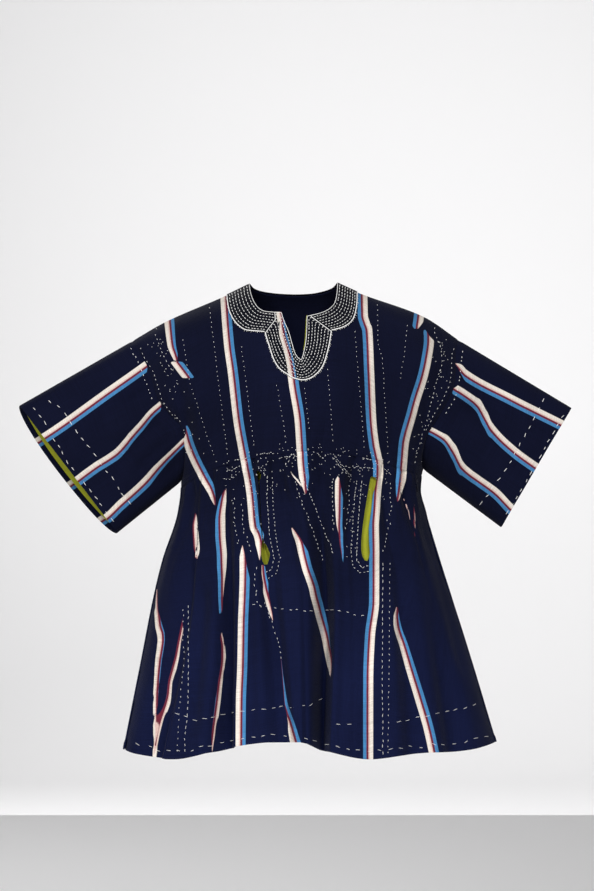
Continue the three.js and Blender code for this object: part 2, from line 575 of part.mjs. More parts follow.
for (const hand of ['left', 'right']) {
  const turn = hand === 'left'
  add(`sleeve_${hand}`, plate(sleeveOf[hand], sleeveSquare[hand], 0, -clothThick, { wrap: true, turn }), navy)
  const inner = clothThick + layerGap
  const cuff = sleeveOf[hand].slice(-2)
  const cuffSquare = sleeveSquare[hand].slice(-2)
  add(`cuff_facing_${hand}`, plate(cuff, cuffSquare, -inner, -inner - facingThick, { wrap: true, turn }), lime)
}

// Neck facing: the body's own surface moved out, cut to each outline
const overFront = plate(front, frontSquare, layerGap + facingThick, layerGap, { turn: true })
const overBack = plate(back, backSquare, layerGap + facingThick, layerGap)
const half = layerGap / 2
const end = (rows) => rows[rows.length - 1]
const outlines = {
  left: [
    { x: -73.6, z: above }, ...neckLeft.slice(0, -1), across(end(neckLeft), -half), across(facingSeam.left, -half),
    ...facingEdge.left.slice().reverse(), { x: -110.4, z: above },
  ],
  centre: [
    across(end(neckLeft), half), ...neckSlit, across(neckRight[0], -half), across(facingSeam.right, -half),
    ...facingEdge.centre.slice().reverse(), across(facingSeam.left, half),
  ],
  right: [
    across(neckRight[0], half), ...neckRight.slice(1), { x: 65.6, z: above }, { x: 97.6, z: above },
    ...facingEdge.right.slice().reverse(), across(facingSeam.right, half),
  ],
  back: [{ x: -73.6, z: above }, ...neckBack, { x: 65.6, z: above }, { x: 97.6, z: above }, ...facingEdge.back.slice().reverse(), { x: -110.4, z: above }],
}
for (const name of ['left', 'centre', 'right']) {
  add(`neck_facing_${name}`, overFront.intersect(block(outlines[name], -300, 20)), dark)
}
add('neck_facing_back', overBack.intersect(block(outlines.back, -20, 300)), dark)

// Pocket bags hang flat against the inside of the skirt, behind the slits
const bagColumns = { before: 4, after: 6 }
const bagRows = { from: 1, to: 8 }
for (const hand of ['left', 'right']) {
  const inner = clothThick + layerGap
  const keep = (j, i) => j >= bagRows.from && j < bagRows.to
    && i >= slit[hand] - bagColumns.before && i < slit[hand] + bagColumns.after
  add(`pocket_bag_${hand}`, plate(skirtFront, skirtFrontSquare, -inner, -inner - facingThick, { turn: true, keep }), lime)
}

export default smock
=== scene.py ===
import math

import bpy
import numpy as np
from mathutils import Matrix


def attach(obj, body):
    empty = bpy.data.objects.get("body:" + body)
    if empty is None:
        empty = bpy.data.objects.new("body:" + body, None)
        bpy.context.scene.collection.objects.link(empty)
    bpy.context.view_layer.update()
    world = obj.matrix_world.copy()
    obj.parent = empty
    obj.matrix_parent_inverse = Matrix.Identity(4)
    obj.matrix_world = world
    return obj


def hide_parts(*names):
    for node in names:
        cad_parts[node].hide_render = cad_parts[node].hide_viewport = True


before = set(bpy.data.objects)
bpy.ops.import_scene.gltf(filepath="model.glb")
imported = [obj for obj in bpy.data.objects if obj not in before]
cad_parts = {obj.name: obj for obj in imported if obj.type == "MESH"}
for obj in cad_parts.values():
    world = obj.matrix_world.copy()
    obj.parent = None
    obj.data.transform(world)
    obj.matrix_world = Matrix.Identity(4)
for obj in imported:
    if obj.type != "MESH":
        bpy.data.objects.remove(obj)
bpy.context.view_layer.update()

# The view of the photograph: 594 x 891 pixels, each 1.6 mm of the smock at the depth of its side seams, seen
# from 4 m away and level with the middle of the picture.
photo_size = (594, 891)
pixel_mm = 1.6
sight_away = 4000.0  # mm from the eye to the side seams
sight_x, sight_z = 1.6, -258.0  # mm, the point that the middle of the picture looks at
sensor_mm = 36.0
eye = bpy.data.cameras.new("photo_view")
eye.sensor_width = sensor_mm
eye.lens = sensor_mm * sight_away / (photo_size[1] * pixel_mm)
eye.clip_end = 40.0
camera = bpy.data.objects.new("photo_view", eye)
camera.location = (sight_x / 1000, -sight_away / 1000, sight_z / 1000)
camera.rotation_euler = (math.radians(90), 0, 0)
bpy.context.scene.collection.objects.link(camera)
bpy.context.scene.camera = camera


# Front body: narrow handwoven cotton strips joined edge to edge, with a neck and a V slit cut into them. It
# rounds over the shoulders, bends out to the armholes and ends at the seam where the skirt is gathered in.
# Sizes are in millimetres as drawn from the photograph's view; stand() brings them to their real size.
side_seams = np.array([  # z, left edge, right edge, depth of the front, depth of the back
    (-770, -281, 331, 206, 186), (-600, -247, 280, 180, 163), (-499, -227, 249, 160, 146),
    (-442, -213, 231, 148, 135), (-365, -188, 208, 130, 119), (-330, -184, 199, 122, 112),
    (-300, -184, 202, 120, 110), (-260, -191, 218, 121, 112), (-224, -207, 246, 121, 113),
    (-190, -246, 275, 120, 112), (-150, -282, 290, 117, 110), (-91, -335, 335, 112, 104),
    (20, -345, 345, 98, 92)], float)
shoulder_line = np.array([
    (-262, -91), (-210, -61), (-107, -16), (-74, 0), (-40, 4), (32, 5), (66, 1.6), (98, -13), (204, -52),
    (261, -90)], float)
armhole_line = {  # x, z and depth, from the shoulder to the underarm
    "left": np.array([
        (-262, -91, 0), (-259, -96, 15), (-251, -110, 31), (-238, -133, 45), (-230, -158, 53),
        (-222, -182, 57), (-205, -205, 59), (-186, -226, 58), (-180, -250, 50), (-179, -275, 38),
        (-181, -300, 22), (-184, -316, 0)], float),
    "right": np.array([
        (261, -90, 0), (259, -97, 16), (256, -112, 32), (256, -138, 46), (253, -166, 55), (242, -190, 57),
        (226, -217, 55), (212, -240, 49), (205, -262, 38), (202.5, -281, 22), (203.2, -296, 0)], float)}
gather_line = {
    "front": np.array([
        (-184, -325), (-150, -303), (-113, -290), (-74, -279), (0, -269), (35, -266), (75, -272), (120, -279),
        (150, -290), (201, -306)], float),
    "back": np.array([
        (-184, -325), (-130, -302), (5, -286), (150, -294), (201, -306)], float)}
body_middle = 5.0
squareness = 2.2
shoulder_round = (150.0, 80.0)  # drop that it takes to round over, at the neck and at the arm
arm_reach = 262.0
pleat_rise = 2.8
pleat_waves = ((1.0, 0.14), (1.7, 0.07), (0.55, 0.26))  # share of the count, share of the height it reaches
pleats_in_body = (140.0, 0.4)  # mm that stand for the whole height there, and how much of the rise is left
gathers_end = 1.25  # angle from the middle past which the cloth is sewn in flat
front_gathers, back_gathers = (11, 21), (23, 23)  # seed of the random draws, waves round the body
underarm = 0.93  # share of the way from shoulder to gather seam
side_end = {"left": -325.0, "right": -306.0}  # z of the gather seam at the side seams
ring_marks = np.array([0, 0.05, 0.12, 0.2, 0.29, 0.38, 0.47, 0.56, 0.65, 0.74, 0.83, 0.93])
out_of = {"front": -1.0, "back": 1.0}
half_stripe = 8.0
turned_away = 4.5  # stretch of the cloth against its drawn width, past which a stripe is drawn in
across_reach, shown_reach, not_shown = 9, 6, -30.0  # mm, as far as the two stripe attributes go
stretch_most = 40  # past this the cloth is seen edge on
sharp_fold = math.radians(65)
body_gather_dip, skirt_gather_dip, armhole_dip = (0.3, 2.4), (1.1, 2.4), (0.8, 3.5)  # depth and reach, mm
fine_thread = 1.1  # mm from thread to thread
# Painted shade: the body and the sleeves take this darker navy, the same cloth as the skirt's lighter navy,
# darkened because it is lit less.
navy = (0.0034, 0.0046, 0.0175)
cream = (0.80, 0.735, 0.66)
blush = (0.72, 0.50, 0.45)
maroon = (0.16, 0.022, 0.042)
sky = (0.062, 0.225, 0.46)
# Painted shade: the body's and sleeves' stripes are dimmed to 0.85 of the skirt's, like their darker navy.
body_stripe_light = 0.85
painted_shading_span = (-0.31, 0.30)  # m, the height where the skirt's painted shade starts to turn to painted light, and how far the change takes


def lerp(a, b, t):
    return a + (b - a) * t


def smooth_line(a, b):
    """A curve through rows that never swings past them: cubic between rows, and at a row its slope is the
    harmonic mean of the slopes on its two sides, or level where they differ in sign."""
    a, b = np.asarray(a, float), np.asarray(b, float)
    rise = np.diff(b) / np.diff(a)
    same = rise[:-1] * rise[1:] > 0
    mean = 2 * rise[:-1] * rise[1:] / np.where(same, rise[:-1] + rise[1:], 1)
    slope = np.concatenate([rise[:1], np.where(same, mean, 0), rise[-1:]])

    def read(at):
        at = np.asarray(at, float)
        i = np.clip(np.searchsorted(a, at) - 1, 0, len(a) - 2)
        h = a[i + 1] - a[i]
        t = np.clip((at - a[i]) / h, 0, 1)
        return (b[i] * (2 * t**3 - 3 * t**2 + 1) + slope[i] * h * (t**3 - 2 * t**2 + t)
                + b[i + 1] * (3 * t**2 - 2 * t**3) + slope[i + 1] * h * (t**3 - t**2))
    return read


left_edge = smooth_line(side_seams[:, 0], side_seams[:, 1])
right_edge = smooth_line(side_seams[:, 0], side_seams[:, 2])
depth_at = {"front": smooth_line(side_seams[:, 0], side_seams[:, 3]),
            "back": smooth_line(side_seams[:, 0], side_seams[:, 4])}
shoulder_height = smooth_line(shoulder_line[:, 0], shoulder_line[:, 1])
gather_height = {side: smooth_line(rows[:, 0], rows[:, 1]) for side, rows in gather_line.items()}


def stand(x, z, y):
    """The real place of a drawn point: its distance from the line of sight grows by 1 + depth / 4 m."""
    k = 1 + y / sight_away
    return np.stack([sight_x + (x - sight_x) * k, y + 0 * k, sight_z + (z - sight_z) * k], -1)


def drawn(p):
    """The reverse of stand(): the x and z at which the photograph's view shows a real place."""
    k = 1 + p[..., 1] / sight_away
    return sight_x + (p[..., 0] - sight_x) / k, sight_z + (p[..., 2] - sight_z) / k


def body_depth(x, z, side):
    """Depth of the body: a rounded oval with exponent 2.2 on each level, times a quarter circle over the
    shoulder's drop."""
    edge = np.where(x < body_middle, left_edge(z), right_edge(z))
    s = np.minimum(1, np.abs((x - body_middle) / (edge - body_middle)))
    rounding = lerp(*shoulder_round, np.minimum(1, np.abs(x) / arm_reach))
    drop = np.clip((shoulder_height(x) - z) / rounding, 0, 1)
    return (out_of[side] * depth_at[side](z) * (1 - s**squareness) ** (1 / squareness)
            * np.sqrt(1 - (1 - drop) ** 2))


def running(line):
    """Distance along a line of points from its start, as the sum of its steps."""
    return np.concatenate([[0], np.cumsum(np.linalg.norm(np.diff(line, axis=0), axis=1))])


def armhole_at(hand, share):
    """x, z and depth at a share of the armhole's length, by a smooth curve through its rows."""
    rows = armhole_line[hand]
    run = running(rows)
    return [smooth_line(run / run[-1], rows[:, k])(share) for k in range(3)]


def body_side(hand, v):
    """The body's side at a share of the way down: the armhole, then straight from underarm to gather seam."""
    x, z, y = armhole_at(hand, np.minimum(v / underarm, 1))
    t = np.clip((v - underarm) / (1 - underarm), 0, 1)
    end_z = side_end[hand]
    end_x = (left_edge if hand == "left" else right_edge)(end_z)
    return lerp(x, end_x, t), lerp(z, end_z, t), y


def section_x(angle, z):
    """x on a level's oval at an angle, -90 degrees at the left side seam and 90 at the right."""
    s = np.sign(angle) * np.abs(np.sin(angle)) ** (2 / squareness)
    return body_middle + np.where(s < 0, body_middle - left_edge(z), right_edge(z) - body_middle) * s


def section_angle(x, z):
    """The reverse of section_x(): the angle on a level's oval at a drawn x."""
    edge = np.where(x < body_middle, body_middle - left_edge(z), right_edge(z) - body_middle)
    s = np.clip((x - body_middle) / edge, -1, 1)
    return np.arcsin(np.sign(s) * np.abs(s) ** (squareness / 2))


def gather_pleats(angle, v, seed, count):
    """Small uneven pleats drawn up by the gathering thread: a sum of three rectified waves round the body,
    with round crests and sharp valleys, that dies away from the seam."""
    draws = np.random.default_rng(seed)
    total = 0
    for share, reach in pleat_waves:
        phase, drift = draws.uniform(0, 6.28), draws.uniform(-0.6, 0.6)
        wave = np.sin(angle * count * share + phase + drift * np.sin(angle * 2.3 + phase))
        total = total + (2 * np.abs(wave) ** 0.6 - 1.3) * np.exp(-v / reach) / share
    rise = 0.35 + 0.65 * np.clip(v / 0.012, 0, 1)
    return pleat_rise * total * rise * (np.abs(angle) < gathers_end)


def body_form(side, u, v, creases=None):
    """The body on a grid: a patch between shoulder line, gather seam and both armholes, each point the sum of
    its two straight blends less the blend of the corners. Its depth is the body's, eased to the armholes'."""
    u, v = np.asarray(u, float)[None, :], np.asarray(v, float)[:, None]
    left, right = body_side("left", v), body_side("right", v)
    spread = 0.6 * u + 0.4 * (0.5 - 0.5 * np.cos(np.pi * u))
    top_x = lerp(shoulder_line[0, 0], shoulder_line[-1, 0], spread)
    top = (top_x, shoulder_height(top_x))
    angle = (u - 0.5) * np.pi
    low_x = section_x(angle, -300.0)
    for _ in range(4):
        low_x = section_x(angle, gather_height[side](low_x))
    low = (low_x, gather_height[side](low_x))
    foot = (section_x(angle, -300.0) - left_edge(-300.0)) / (right_edge(-300.0) - left_edge(-300.0))
    w = lerp(spread, foot, v)
    place = []
    for k in range(2):
        corners = (shoulder_line[0, k], shoulder_line[-1, k],
                   body_side("left", 1.0)[k], body_side("right", 1.0)[k])
        place.append(lerp(top[k], low[k], v) + lerp(left[k], right[k], w)
                     - lerp(lerp(corners[0], corners[1], w), lerp(corners[2], corners[3], w), v))
    x, z = place
    y = body_depth(x, z, side)
    y = y + (1 - w) ** 8 * (out_of[side] * left[2] - body_depth(left[0], left[1], side))
    y = y + w**8 * (out_of[side] * right[2] - body_depth(right[0], right[1], side))
    y = np.where(v == 0, 0, y)
    if creases is not None:
        y = y + out_of[side] * creases(x, z) * np.minimum(1, np.minimum(w, 1 - w) * 40)
    return stand(x, z, y)


def crease(x, z, points, height, wide):
    """A soft ridge or groove along a line: its height falls off as a bell curve across the line and fades out
    over the last fifth of its length at both ends."""
    line = np.array(points, float)
    run = running(line)
    best, place = np.full(np.shape(x), 1e9), np.zeros(np.shape(x))
    for a, b, start in zip(line[:-1], line[1:], run[:-1]):
        way = b - a
        t = np.clip(((x - a[0]) * way[0] + (z - a[1]) * way[1]) / (way @ way), 0, 1)
        off = np.hypot(x - a[0] - t * way[0], z - a[1] - t * way[1])
        place = np.where(off < best, (start + t * np.hypot(*way)) / run[-1], place)
        best = np.minimum(off, best)
    fade = np.clip(np.minimum(place, 1 - place) * 5, 0, 1)
    return height * np.exp(-((best / wide) ** 2)) * fade * fade * (3 - 2 * fade)


def creased(x, z, table, relief=0):
    """The sum of a table's creases, each with its points, height and width, on top of a first relief."""
    for points, height, wide in table:
        relief = relief + crease(x, z, points, height, wide)
    return relief


def seam_dip(distance, depth=1.0, reach=3.5):
    """How far cloth turns in beside a seam, falling off as a bell curve with the distance from it."""
    return depth * np.exp(-((distance / reach) ** 2))


def square_to(grid, wrap=False):
    """Unit directions square to a grid, from the cross product of its two runs."""
    if wrap:
        along = np.roll(grid, -1, 1) - np.roll(grid, 1, 1)
    else:
        along = np.gradient(grid, axis=1)
    n = np.cross(along, np.gradient(grid, axis=0))
    return n / np.maximum(np.linalg.norm(n, axis=-1, keepdims=True), 1e-9)


def run_lengths(grid, axis):
    """Distance along each row or column of a grid from its start, as the sum of its steps."""
    steps = np.linalg.norm(np.diff(grid, axis=axis), axis=-1)
    return np.concatenate([np.zeros_like(np.take(steps, [0], axis)), np.cumsum(steps, axis)], axis)


def square_out(grid, side):
    """Unit directions square to a grid, turned to the outside of the front or the back."""
    square = square_to(grid)
    return square * np.sign(out_of[side] * square[grid.shape[0] // 2, grid.shape[1] // 2, 1])


def to_sides(grid):
    """Distance along each row of a grid to the nearer of its two ends."""
    run = run_lengths(grid, 1)
    return np.minimum(run, run[:, -1:] - run)


def levels(tuck, close, near, far):
    """Shares of the way down: two rows tucked under the seam above, close rows below it, then even ones."""
    return np.concatenate([[tuck, 0.4 * tuck], np.linspace(0, close, near)[:-1], np.linspace(close, 1, far)])


def stripes_on(run, cross, stripes, squeeze=1.0):
    """Where the woven stripes lie. Each stripe is a line, cross as a function of run, with a left and a right
    limit, the whole stripe's where a row gives none. Across is (cross - line) / root(1 + slope squared),
    turned over where blue comes first, and shown is the least distance inside the limits and the ends. Every
    point takes the stripe that it is most inside. Squeeze draws the limits in where the cloth turns away from
    the view, and across grows as they shrink."""
    across, shown = np.zeros(run.shape), np.full(run.shape, not_shown)
    for blue_first, rows in stripes:
        rows = np.array(sorted((*row, -half_stripe, half_stripe)[:4] for row in rows), float)
        line = smooth_line(rows[:, 0], rows[:, 1])
        slope = (line(run + 1) - line(run - 1)) / 2
        off = (cross - line(run)) / np.sqrt(1 + slope**2)
        low = np.interp(run, rows[:, 0], rows[:, 2]) * squeeze
        high = np.interp(run, rows[:, 0], rows[:, 3]) * squeeze
        inside = np.minimum(np.minimum(off - low, high - off),
                            np.minimum(run - rows[0, 0], rows[-1, 0] - run))
        across = np.where(inside > shown, (-off if blue_first else off) / squeeze, across)
        shown = np.maximum(inside, shown)
    return np.clip(across, -across_reach, across_reach), np.clip(shown, -shown_reach, shown_reach)


def cloth_piece(name, outer, inner, material, keep=None, wrap=False, stripes=None, sleeve=False):
    """A piece of cloth from two layers of one grid in mm, closed round every edge. Cells that keep refuses
    are left out. Its UV map runs along the threads in metres, across and down the piece."""
    rows, cols = outer.shape[0] - 1, outer.shape[1] - (0 if wrap else 1)
    n = outer.shape[1]
    held = np.ones((rows, cols), bool) if keep is None else keep
    j, i = np.nonzero(held)

    def corner(jj, ii, layer):
        return (layer * outer.shape[0] + jj) * n + ii % n, (layer * outer.shape[0] + jj) * (n + 1) + ii

    quads = [[(j, i, 0), (j + 1, i, 0), (j + 1, i + 1, 0), (j, i + 1, 0)],
             [(j, i, 1), (j, i + 1, 1), (j + 1, i + 1, 1), (j + 1, i, 1)]]
    padded = np.zeros((rows + 2, cols + 2), bool)
    padded[1:-1, 1:-1] = held
    if wrap:
        padded[:, 0], padded[:, -1] = padded[:, -2], padded[:, 1]
    for dj, di, a, b in (  # the neighbour's step, then the cell's corners on that side
            (-1, 0, (0, 0), (0, 1)), (1, 0, (1, 1), (1, 0)), (0, -1, (1, 0), (0, 0)), (0, 1, (0, 1), (1, 1))):
        open_side = held & ~padded[1 + dj:rows + 1 + dj, 1 + di:cols + 1 + di]
        ej, ei = np.nonzero(open_side)
        quads.append([(ej + a[0], ei + a[1], 0), (ej + b[0], ei + b[1], 0), (ej + b[0], ei + b[1], 1),
                      (ej + a[0], ei + a[1], 1)])
    corners = [[corner(*c) for c in quad] for quad in quads]
    verts = np.concatenate([np.stack([c[0] for c in quad], -1) for quad in corners])
    flat = np.concatenate([np.stack([c[1] for c in quad], -1) for quad in corners])
    points = np.concatenate([outer.reshape(-1, 3), inner.reshape(-1, 3)])
    normal = np.cross(outer[1:, :] - outer[:-1, :], np.gradient(outer, axis=1)[1:])
    facing_in = np.sum(normal * (inner - outer)[1:], -1).mean() > 0
    if facing_in:
        verts, flat = verts[:, ::-1], flat[:, ::-1]
    used, verts_new = np.unique(verts, return_inverse=True)
    verts_new = verts_new.reshape(verts.shape)
    mesh = bpy.data.meshes.new(name)
    mesh.from_pydata((points[used] / 1000).tolist(), [], verts_new.tolist())
    one_more = outer[:, :1] if wrap else 2 * outer[:, -1:] - outer[:, -2:-1]
    closed = np.concatenate([outer, one_more], 1)
    across = run_lengths(closed, 1)
    across = across - across[:, cols // 2:cols // 2 + 1]
    down = run_lengths(closed, 0)
    uv = np.stack([across, down], -1).reshape(-1, 2) / 1000
    uv = np.concatenate([uv, uv])
    layer = mesh.uv_layers.new(name="threads")
    layer.data.foreach_set("uv", uv[flat.reshape(-1)].astype(np.float32).ravel())
    if stripes is not None:
        x, z = drawn(outer)
        drawn_step = np.maximum(np.abs(np.gradient(x, axis=1)), 0.01)
        stretch = np.clip(np.gradient(run_lengths(outer, 1), axis=1) / drawn_step, 1, stretch_most)
        across, shown = (stripes_on(x, -z, stripes) if sleeve
                         else stripes_on(z, x, stripes, np.minimum(1, turned_away / stretch)))
        for key, values in (("stripe_across", across), ("stripe_shown", shown)):
            values = np.concatenate([values.ravel(), values.ravel()])[used]
            mesh.attributes.new(key, "FLOAT", "POINT").data.foreach_set("value", values.astype(np.float32))
    mesh.polygons.foreach_set("use_smooth", np.ones(len(mesh.polygons), bool))
    mesh.set_sharp_from_angle(angle=sharp_fold)
    mesh.materials.append(material)
    piece = bpy.data.objects.new(name, mesh)
    bpy.context.scene.collection.objects.link(piece)
    return piece


def woven_cloth(name, base, thread=fine_thread, striped=False, stripe_light=1.0, rough=0.9, sheen=0.02,
                rib=0.5, top=None):
    """Plain-woven cotton. Colour: the base, or top above and the base below with an even change between, which
    paints shade up high and light further down, with long streaks along both threads and soft large patches,
    under the stripe's bands read from the piece's own attributes. Bump: one sine along each thread direction."""
    material = bpy.data.materials.new(name)
    material.use_nodes = True
    tree = material.node_tree
    nodes, links = tree.nodes, tree.links
    shader = nodes["Principled BSDF"]
    shader.inputs["Roughness"].default_value = rough
    shader.inputs["Sheen Weight"].default_value = sheen
    shader.inputs["Sheen Roughness"].default_value = 0.45
    shader.inputs["Specular IOR Level"].default_value = 0.06

    def math_node(kind, a, b=None, c=None):
        node = nodes.new("ShaderNodeMath")
        node.operation = kind
        for k, value in enumerate((a, b, c)):
            if value is None:
                continue
            if isinstance(value, (int, float)):
                node.inputs[k].default_value = value
            else:
                links.new(value, node.inputs[k])
        return node.outputs[0]

    def mix(kind, factor, a, b):
        node = nodes.new("ShaderNodeMix")
        node.data_type = "RGBA"
        node.blend_type = kind
        for socket, value in ((node.inputs[0], factor), (node.inputs[6], a), (node.inputs[7], b)):
            if isinstance(value, (int, float)):
                socket.default_value = value
            elif isinstance(value, tuple):
                socket.default_value = (*value, 1)
            else:
                links.new(value, socket)
        return node.outputs[2]

    def streaks(scale, detail, seed):
        place = nodes.new("ShaderNodeMapping")
        place.inputs["Scale"].default_value = scale
        place.inputs["Location"].default_value = (seed, seed * 0.7, 0)
        links.new(uv.outputs["UV"], place.inputs["Vector"])
        noise = nodes.new("ShaderNodeTexNoise")
        noise.inputs["Scale"].default_value = 1.0
        noise.inputs["Detail"].default_value = detail
        links.new(place.outputs["Vector"], noise.inputs["Vector"])
        return noise.outputs["Fac"]

    uv = nodes.new("ShaderNodeUVMap")
    uv.uv_map = "threads"
    split = nodes.new("ShaderNodeSeparateXYZ")
    links.new(uv.outputs["UV"], split.inputs[0])
    turns = 2 * math.pi * 1000 / thread
    warp = math_node("SINE", math_node("MULTIPLY", split.outputs[0], turns))
    weft = math_node("SINE", math_node("MULTIPLY", split.outputs[1], turns * 0.8))
    crossing = math_node("MULTIPLY", warp, weft)
    weave = math_node("MULTIPLY_ADD", weft, rib, crossing)
    along = streaks((900 / thread, 14, 1), 2.0, 0.3)
    level = streaks((14, 700 / thread, 1), 2.0, 4.1)
    patch = streaks((9, 6, 1), 3.0, 7.7)
    tone = math_node("ADD", math_node("MULTIPLY", along, 0.55), math_node("MULTIPLY", level, 0.75))
    tone = math_node("ADD", tone, math_node("MULTIPLY", patch, 0.75))
    # Painted light and shade: above the span's start the colour is top, painted shade on the upright cloth by
    # the gathers, and it turns to the base, painted light on the flared cloth lower down.
    if top is not None:
        place = nodes.new("ShaderNodeTexCoord")
        height = nodes.new("ShaderNodeSeparateXYZ")
        links.new(place.outputs["Object"], height.inputs[0])
        start, reach = painted_shading_span
        down = math_node("MULTIPLY_ADD", height.outputs[2], -1 / reach, start / reach)
        down.node.use_clamp = True
        base = mix("MIX", down, top, base)
    colour = base
    if striped:
        across = nodes.new("ShaderNodeAttribute")
        across.attribute_name = "stripe_across"
        shown = nodes.new("ShaderNodeAttribute")
        shown.attribute_name = "stripe_shown"
        ragged = math_node("MULTIPLY_ADD", along, 0.5, -0.25)
        ragged = math_node("MULTIPLY_ADD", weft, 0.12, ragged)
        place = math_node("ADD", across.outputs["Fac"], ragged)
        place = math_node("MULTIPLY_ADD", place, 0.05, 0.5)
        ramp = nodes.new("ShaderNodeValToRGB")
        bands = ramp.color_ramp
        stops = ((-9, cream), (-3.0, cream), (-2.0, blush), (-0.7, blush), (-0.4, maroon), (2.6, maroon),
                 (2.9, sky), (9, sky))
        while len(bands.elements) < len(stops):
            bands.elements.new(0.5)
        for element, (at, shade) in zip(bands.elements, stops):
            element.position = at * 0.05 + 0.5
            element.color = (*(np.array(shade) * stripe_light), 1)
        links.new(place, ramp.inputs[0])
        edge = math_node("MULTIPLY_ADD", shown.outputs["Fac"], 2.5, 0.5)
        edge.node.use_clamp = True
        colour = mix("MIX", edge, base, ramp.outputs[0])
    light = math_node("MULTIPLY_ADD", tone, 0.9, 0.08)
    light = math_node("MULTIPLY_ADD", weave, 0.1, light)
    scaled = nodes.new("ShaderNodeVectorMath")
    scaled.operation = "SCALE"
    if isinstance(colour, tuple):
        scaled.inputs[0].default_value = colour
    else:
        links.new(colour, scaled.inputs[0])
    links.new(light, scaled.inputs["Scale"])
    links.new(scaled.outputs[0], shader.inputs["Base Color"])
    bump = nodes.new("ShaderNodeBump")
    bump.inputs["Strength"].default_value = 0.35
    bump.inputs["Distance"].default_value = 0.0004
    relief = math_node("MULTIPLY_ADD", along, 1.4, weave)
    links.new(relief, bump.inputs["Height"])
    links.new(bump.outputs["Normal"], shader.inputs["Normal"])
    return material


# The body and sleeves: navy and stripes painted darker than the skirt's, as painted shade.
striped_navy = woven_cloth("striped_navy", navy, striped=True, stripe_light=body_stripe_light)
cloth_thick = 1.9

# The rows of the front neckline and slit, and how far the body's raw edge lies back under the facing.
neck_edge = np.array([
    (-73.6, 0), (-72.3, -9.6), (-68.8, -22.4), (-64, -32), (-56.8, -40), (-48, -43.7), (-35.2, -44.8),
    (-24, -44.8), (-17.6, -60.8), (-11.2, -75.2), (-3.2, -104), (8, -120), (12.8, -104), (15.2, -91.2),
    (17.6, -51.2), (25.6, -49.6), (38.4, -46.4), (49.6, -41.6), (56.8, -36), (61.6, -28.8), (64.5, -14.4),
    (65.6, 1.6)], float)
back_neck_edge = np.array([
    (-73.6, 0), (-66, -8), (-50, -13), (-25, -16), (0, -17), (22, -16), (44, -12), (59, -6),
    (65.6, 1.6)], float)
raw_edge_back = 1.2


def neck_hole(x, z, edge):
    """Distance of drawn points inside the neckline, less than 0 outside it: even-odd test on the outline
    closed above the shoulders, with the least distance to its sides."""
    outline = np.concatenate([[(edge[0, 0], 60)], edge, [(edge[-1, 0], 60)]])
    inside, best = np.zeros(x.shape, bool), np.full(x.shape, 1e9)
    for a, b in zip(outline, np.roll(outline, -1, 0)):
        if a[1] != b[1]:
            inside ^= ((a[1] > z) != (b[1] > z)) & (x < (b[0] - a[0]) * (z - a[1]) / (b[1] - a[1]) + a[0])
        way = b - a
        t = np.clip(((x - a[0]) * way[0] + (z - a[1]) * way[1]) / (way @ way), 0, 1)
        best = np.minimum(best, np.hypot(x - a[0] - t * way[0], z - a[1] - t * way[1]))
    return np.where(inside, best, -best)


def body_rows(count, below=9):
    """Shares of the way down the body: closer together over the shoulder, evenly spaced below it."""
    t = np.linspace(0, 1, 400)
    v = np.where(t < 0.6, 0.5 * (1 - np.cos(np.pi * t / 1.2)), 0.5 + (t - 0.6) * 1.25)
    upper = np.interp(np.linspace(0, np.interp(underarm, v, t), count), t, v)
    return np.concatenate([upper[:-1], np.linspace(underarm, 1, below)])


front_drags = [  # points, height and width, in mm
    ([(-205, -130), (-184, -160), (-176, -210), (-172, -262)], -7, 11),
    ([(-222, -110), (-196, -142), (-166, -176)], 4, 13),
    ([(-164, -150), (-158, -210), (-150, -280)], 5, 15),
    ([(236, -120), (226, -160), (205, -215), (188, -275)], -6, 12),
    ([(214, -85), (200, -130), (176, -200), (164, -280)], 4, 14),
    ([(-96, -60), (-104, -150), (-90, -270)], 2.5, 18),
    ([(-58, -110), (-62, -190), (-50, -268)], -2.5, 20),
    ([(30, -165), (32, -220), (24, -266)], 2.5, 16),
    ([(84, -90), (88, -180), (80, -270)], -2.5, 20),
    ([(146, -40), (152, -120), (150, -280)], -3, 18),
    ([(112, -30), (120, -74), (122, -150)], 2.5, 9)]


def front_creases(x, z):
    """Where the worn front isn't smooth: the fold beside the left armhole, drags towards both underarms, the
    slight hollows beside the stitched strip seams, and the ends of the pleats above the gather seam."""
    height, share = pleats_in_body
    above = np.maximum(0, z - gather_height["front"](x)) / height
    return creased(x, z, front_drags) + share * gather_pleats(section_angle(x, z), above, *front_gathers)


front_stripes = [  # whether blue comes first, then z, x of the middle, and limits where it isn't whole
    (False, [(-40, -204.5), (-62, -202.5), (-98, -198.5, -7, 6.4), (-112, -194, -6, 4.4),
             (-122, -191, -4, 1)]),
    (False, [(-124, -191.5), (-134, -184), (-150, -172)]),
    (False, [(-226, -179, 3, 5), (-232, -178, 2, 7.4), (-240, -175.5, -1, half_stripe), (-250, -173),
             (-268, -166.5), (-287, -158), (-313, -144.5), (-335, -134)]),
    (False, [(10, -114), (-19, -113), (-51, -111), (-98, -107), (-141, -101), (-219, -92), (-275, -82),
             (-320, -74)]),
    (False, [(-30, -29), (-45, -25), (-78, -20.5), (-107, -12.5), (-136, -6.7), (-165, -2.6), (-219, 6),
             (-275, 9.6), (-320, 13)]),
    (True, [(0, 105), (-16, 106), (-51, 107), (-62, 110), (-74, 114), (-141, 117), (-219, 120.5),
            (-258, 125), (-272, 128), (-291, 131.5), (-320, 130)]),
    (True, [(-36, 199), (-48, 197), (-60, 195.5), (-66, 194.5, -8, 5), (-71, 194, -6, 1)]),
    (True, [(-73, 211, -6, -4), (-77, 212, -8, -2), (-83, 212.6, -8, 1), (-90, 212.6), (-118, 209),
            (-146, 203), (-186, 190.5), (-212, 183.5), (-238, 176), (-254, 172.5), (-282, 170), (-330, 166)])]

body_v = body_rows(112)


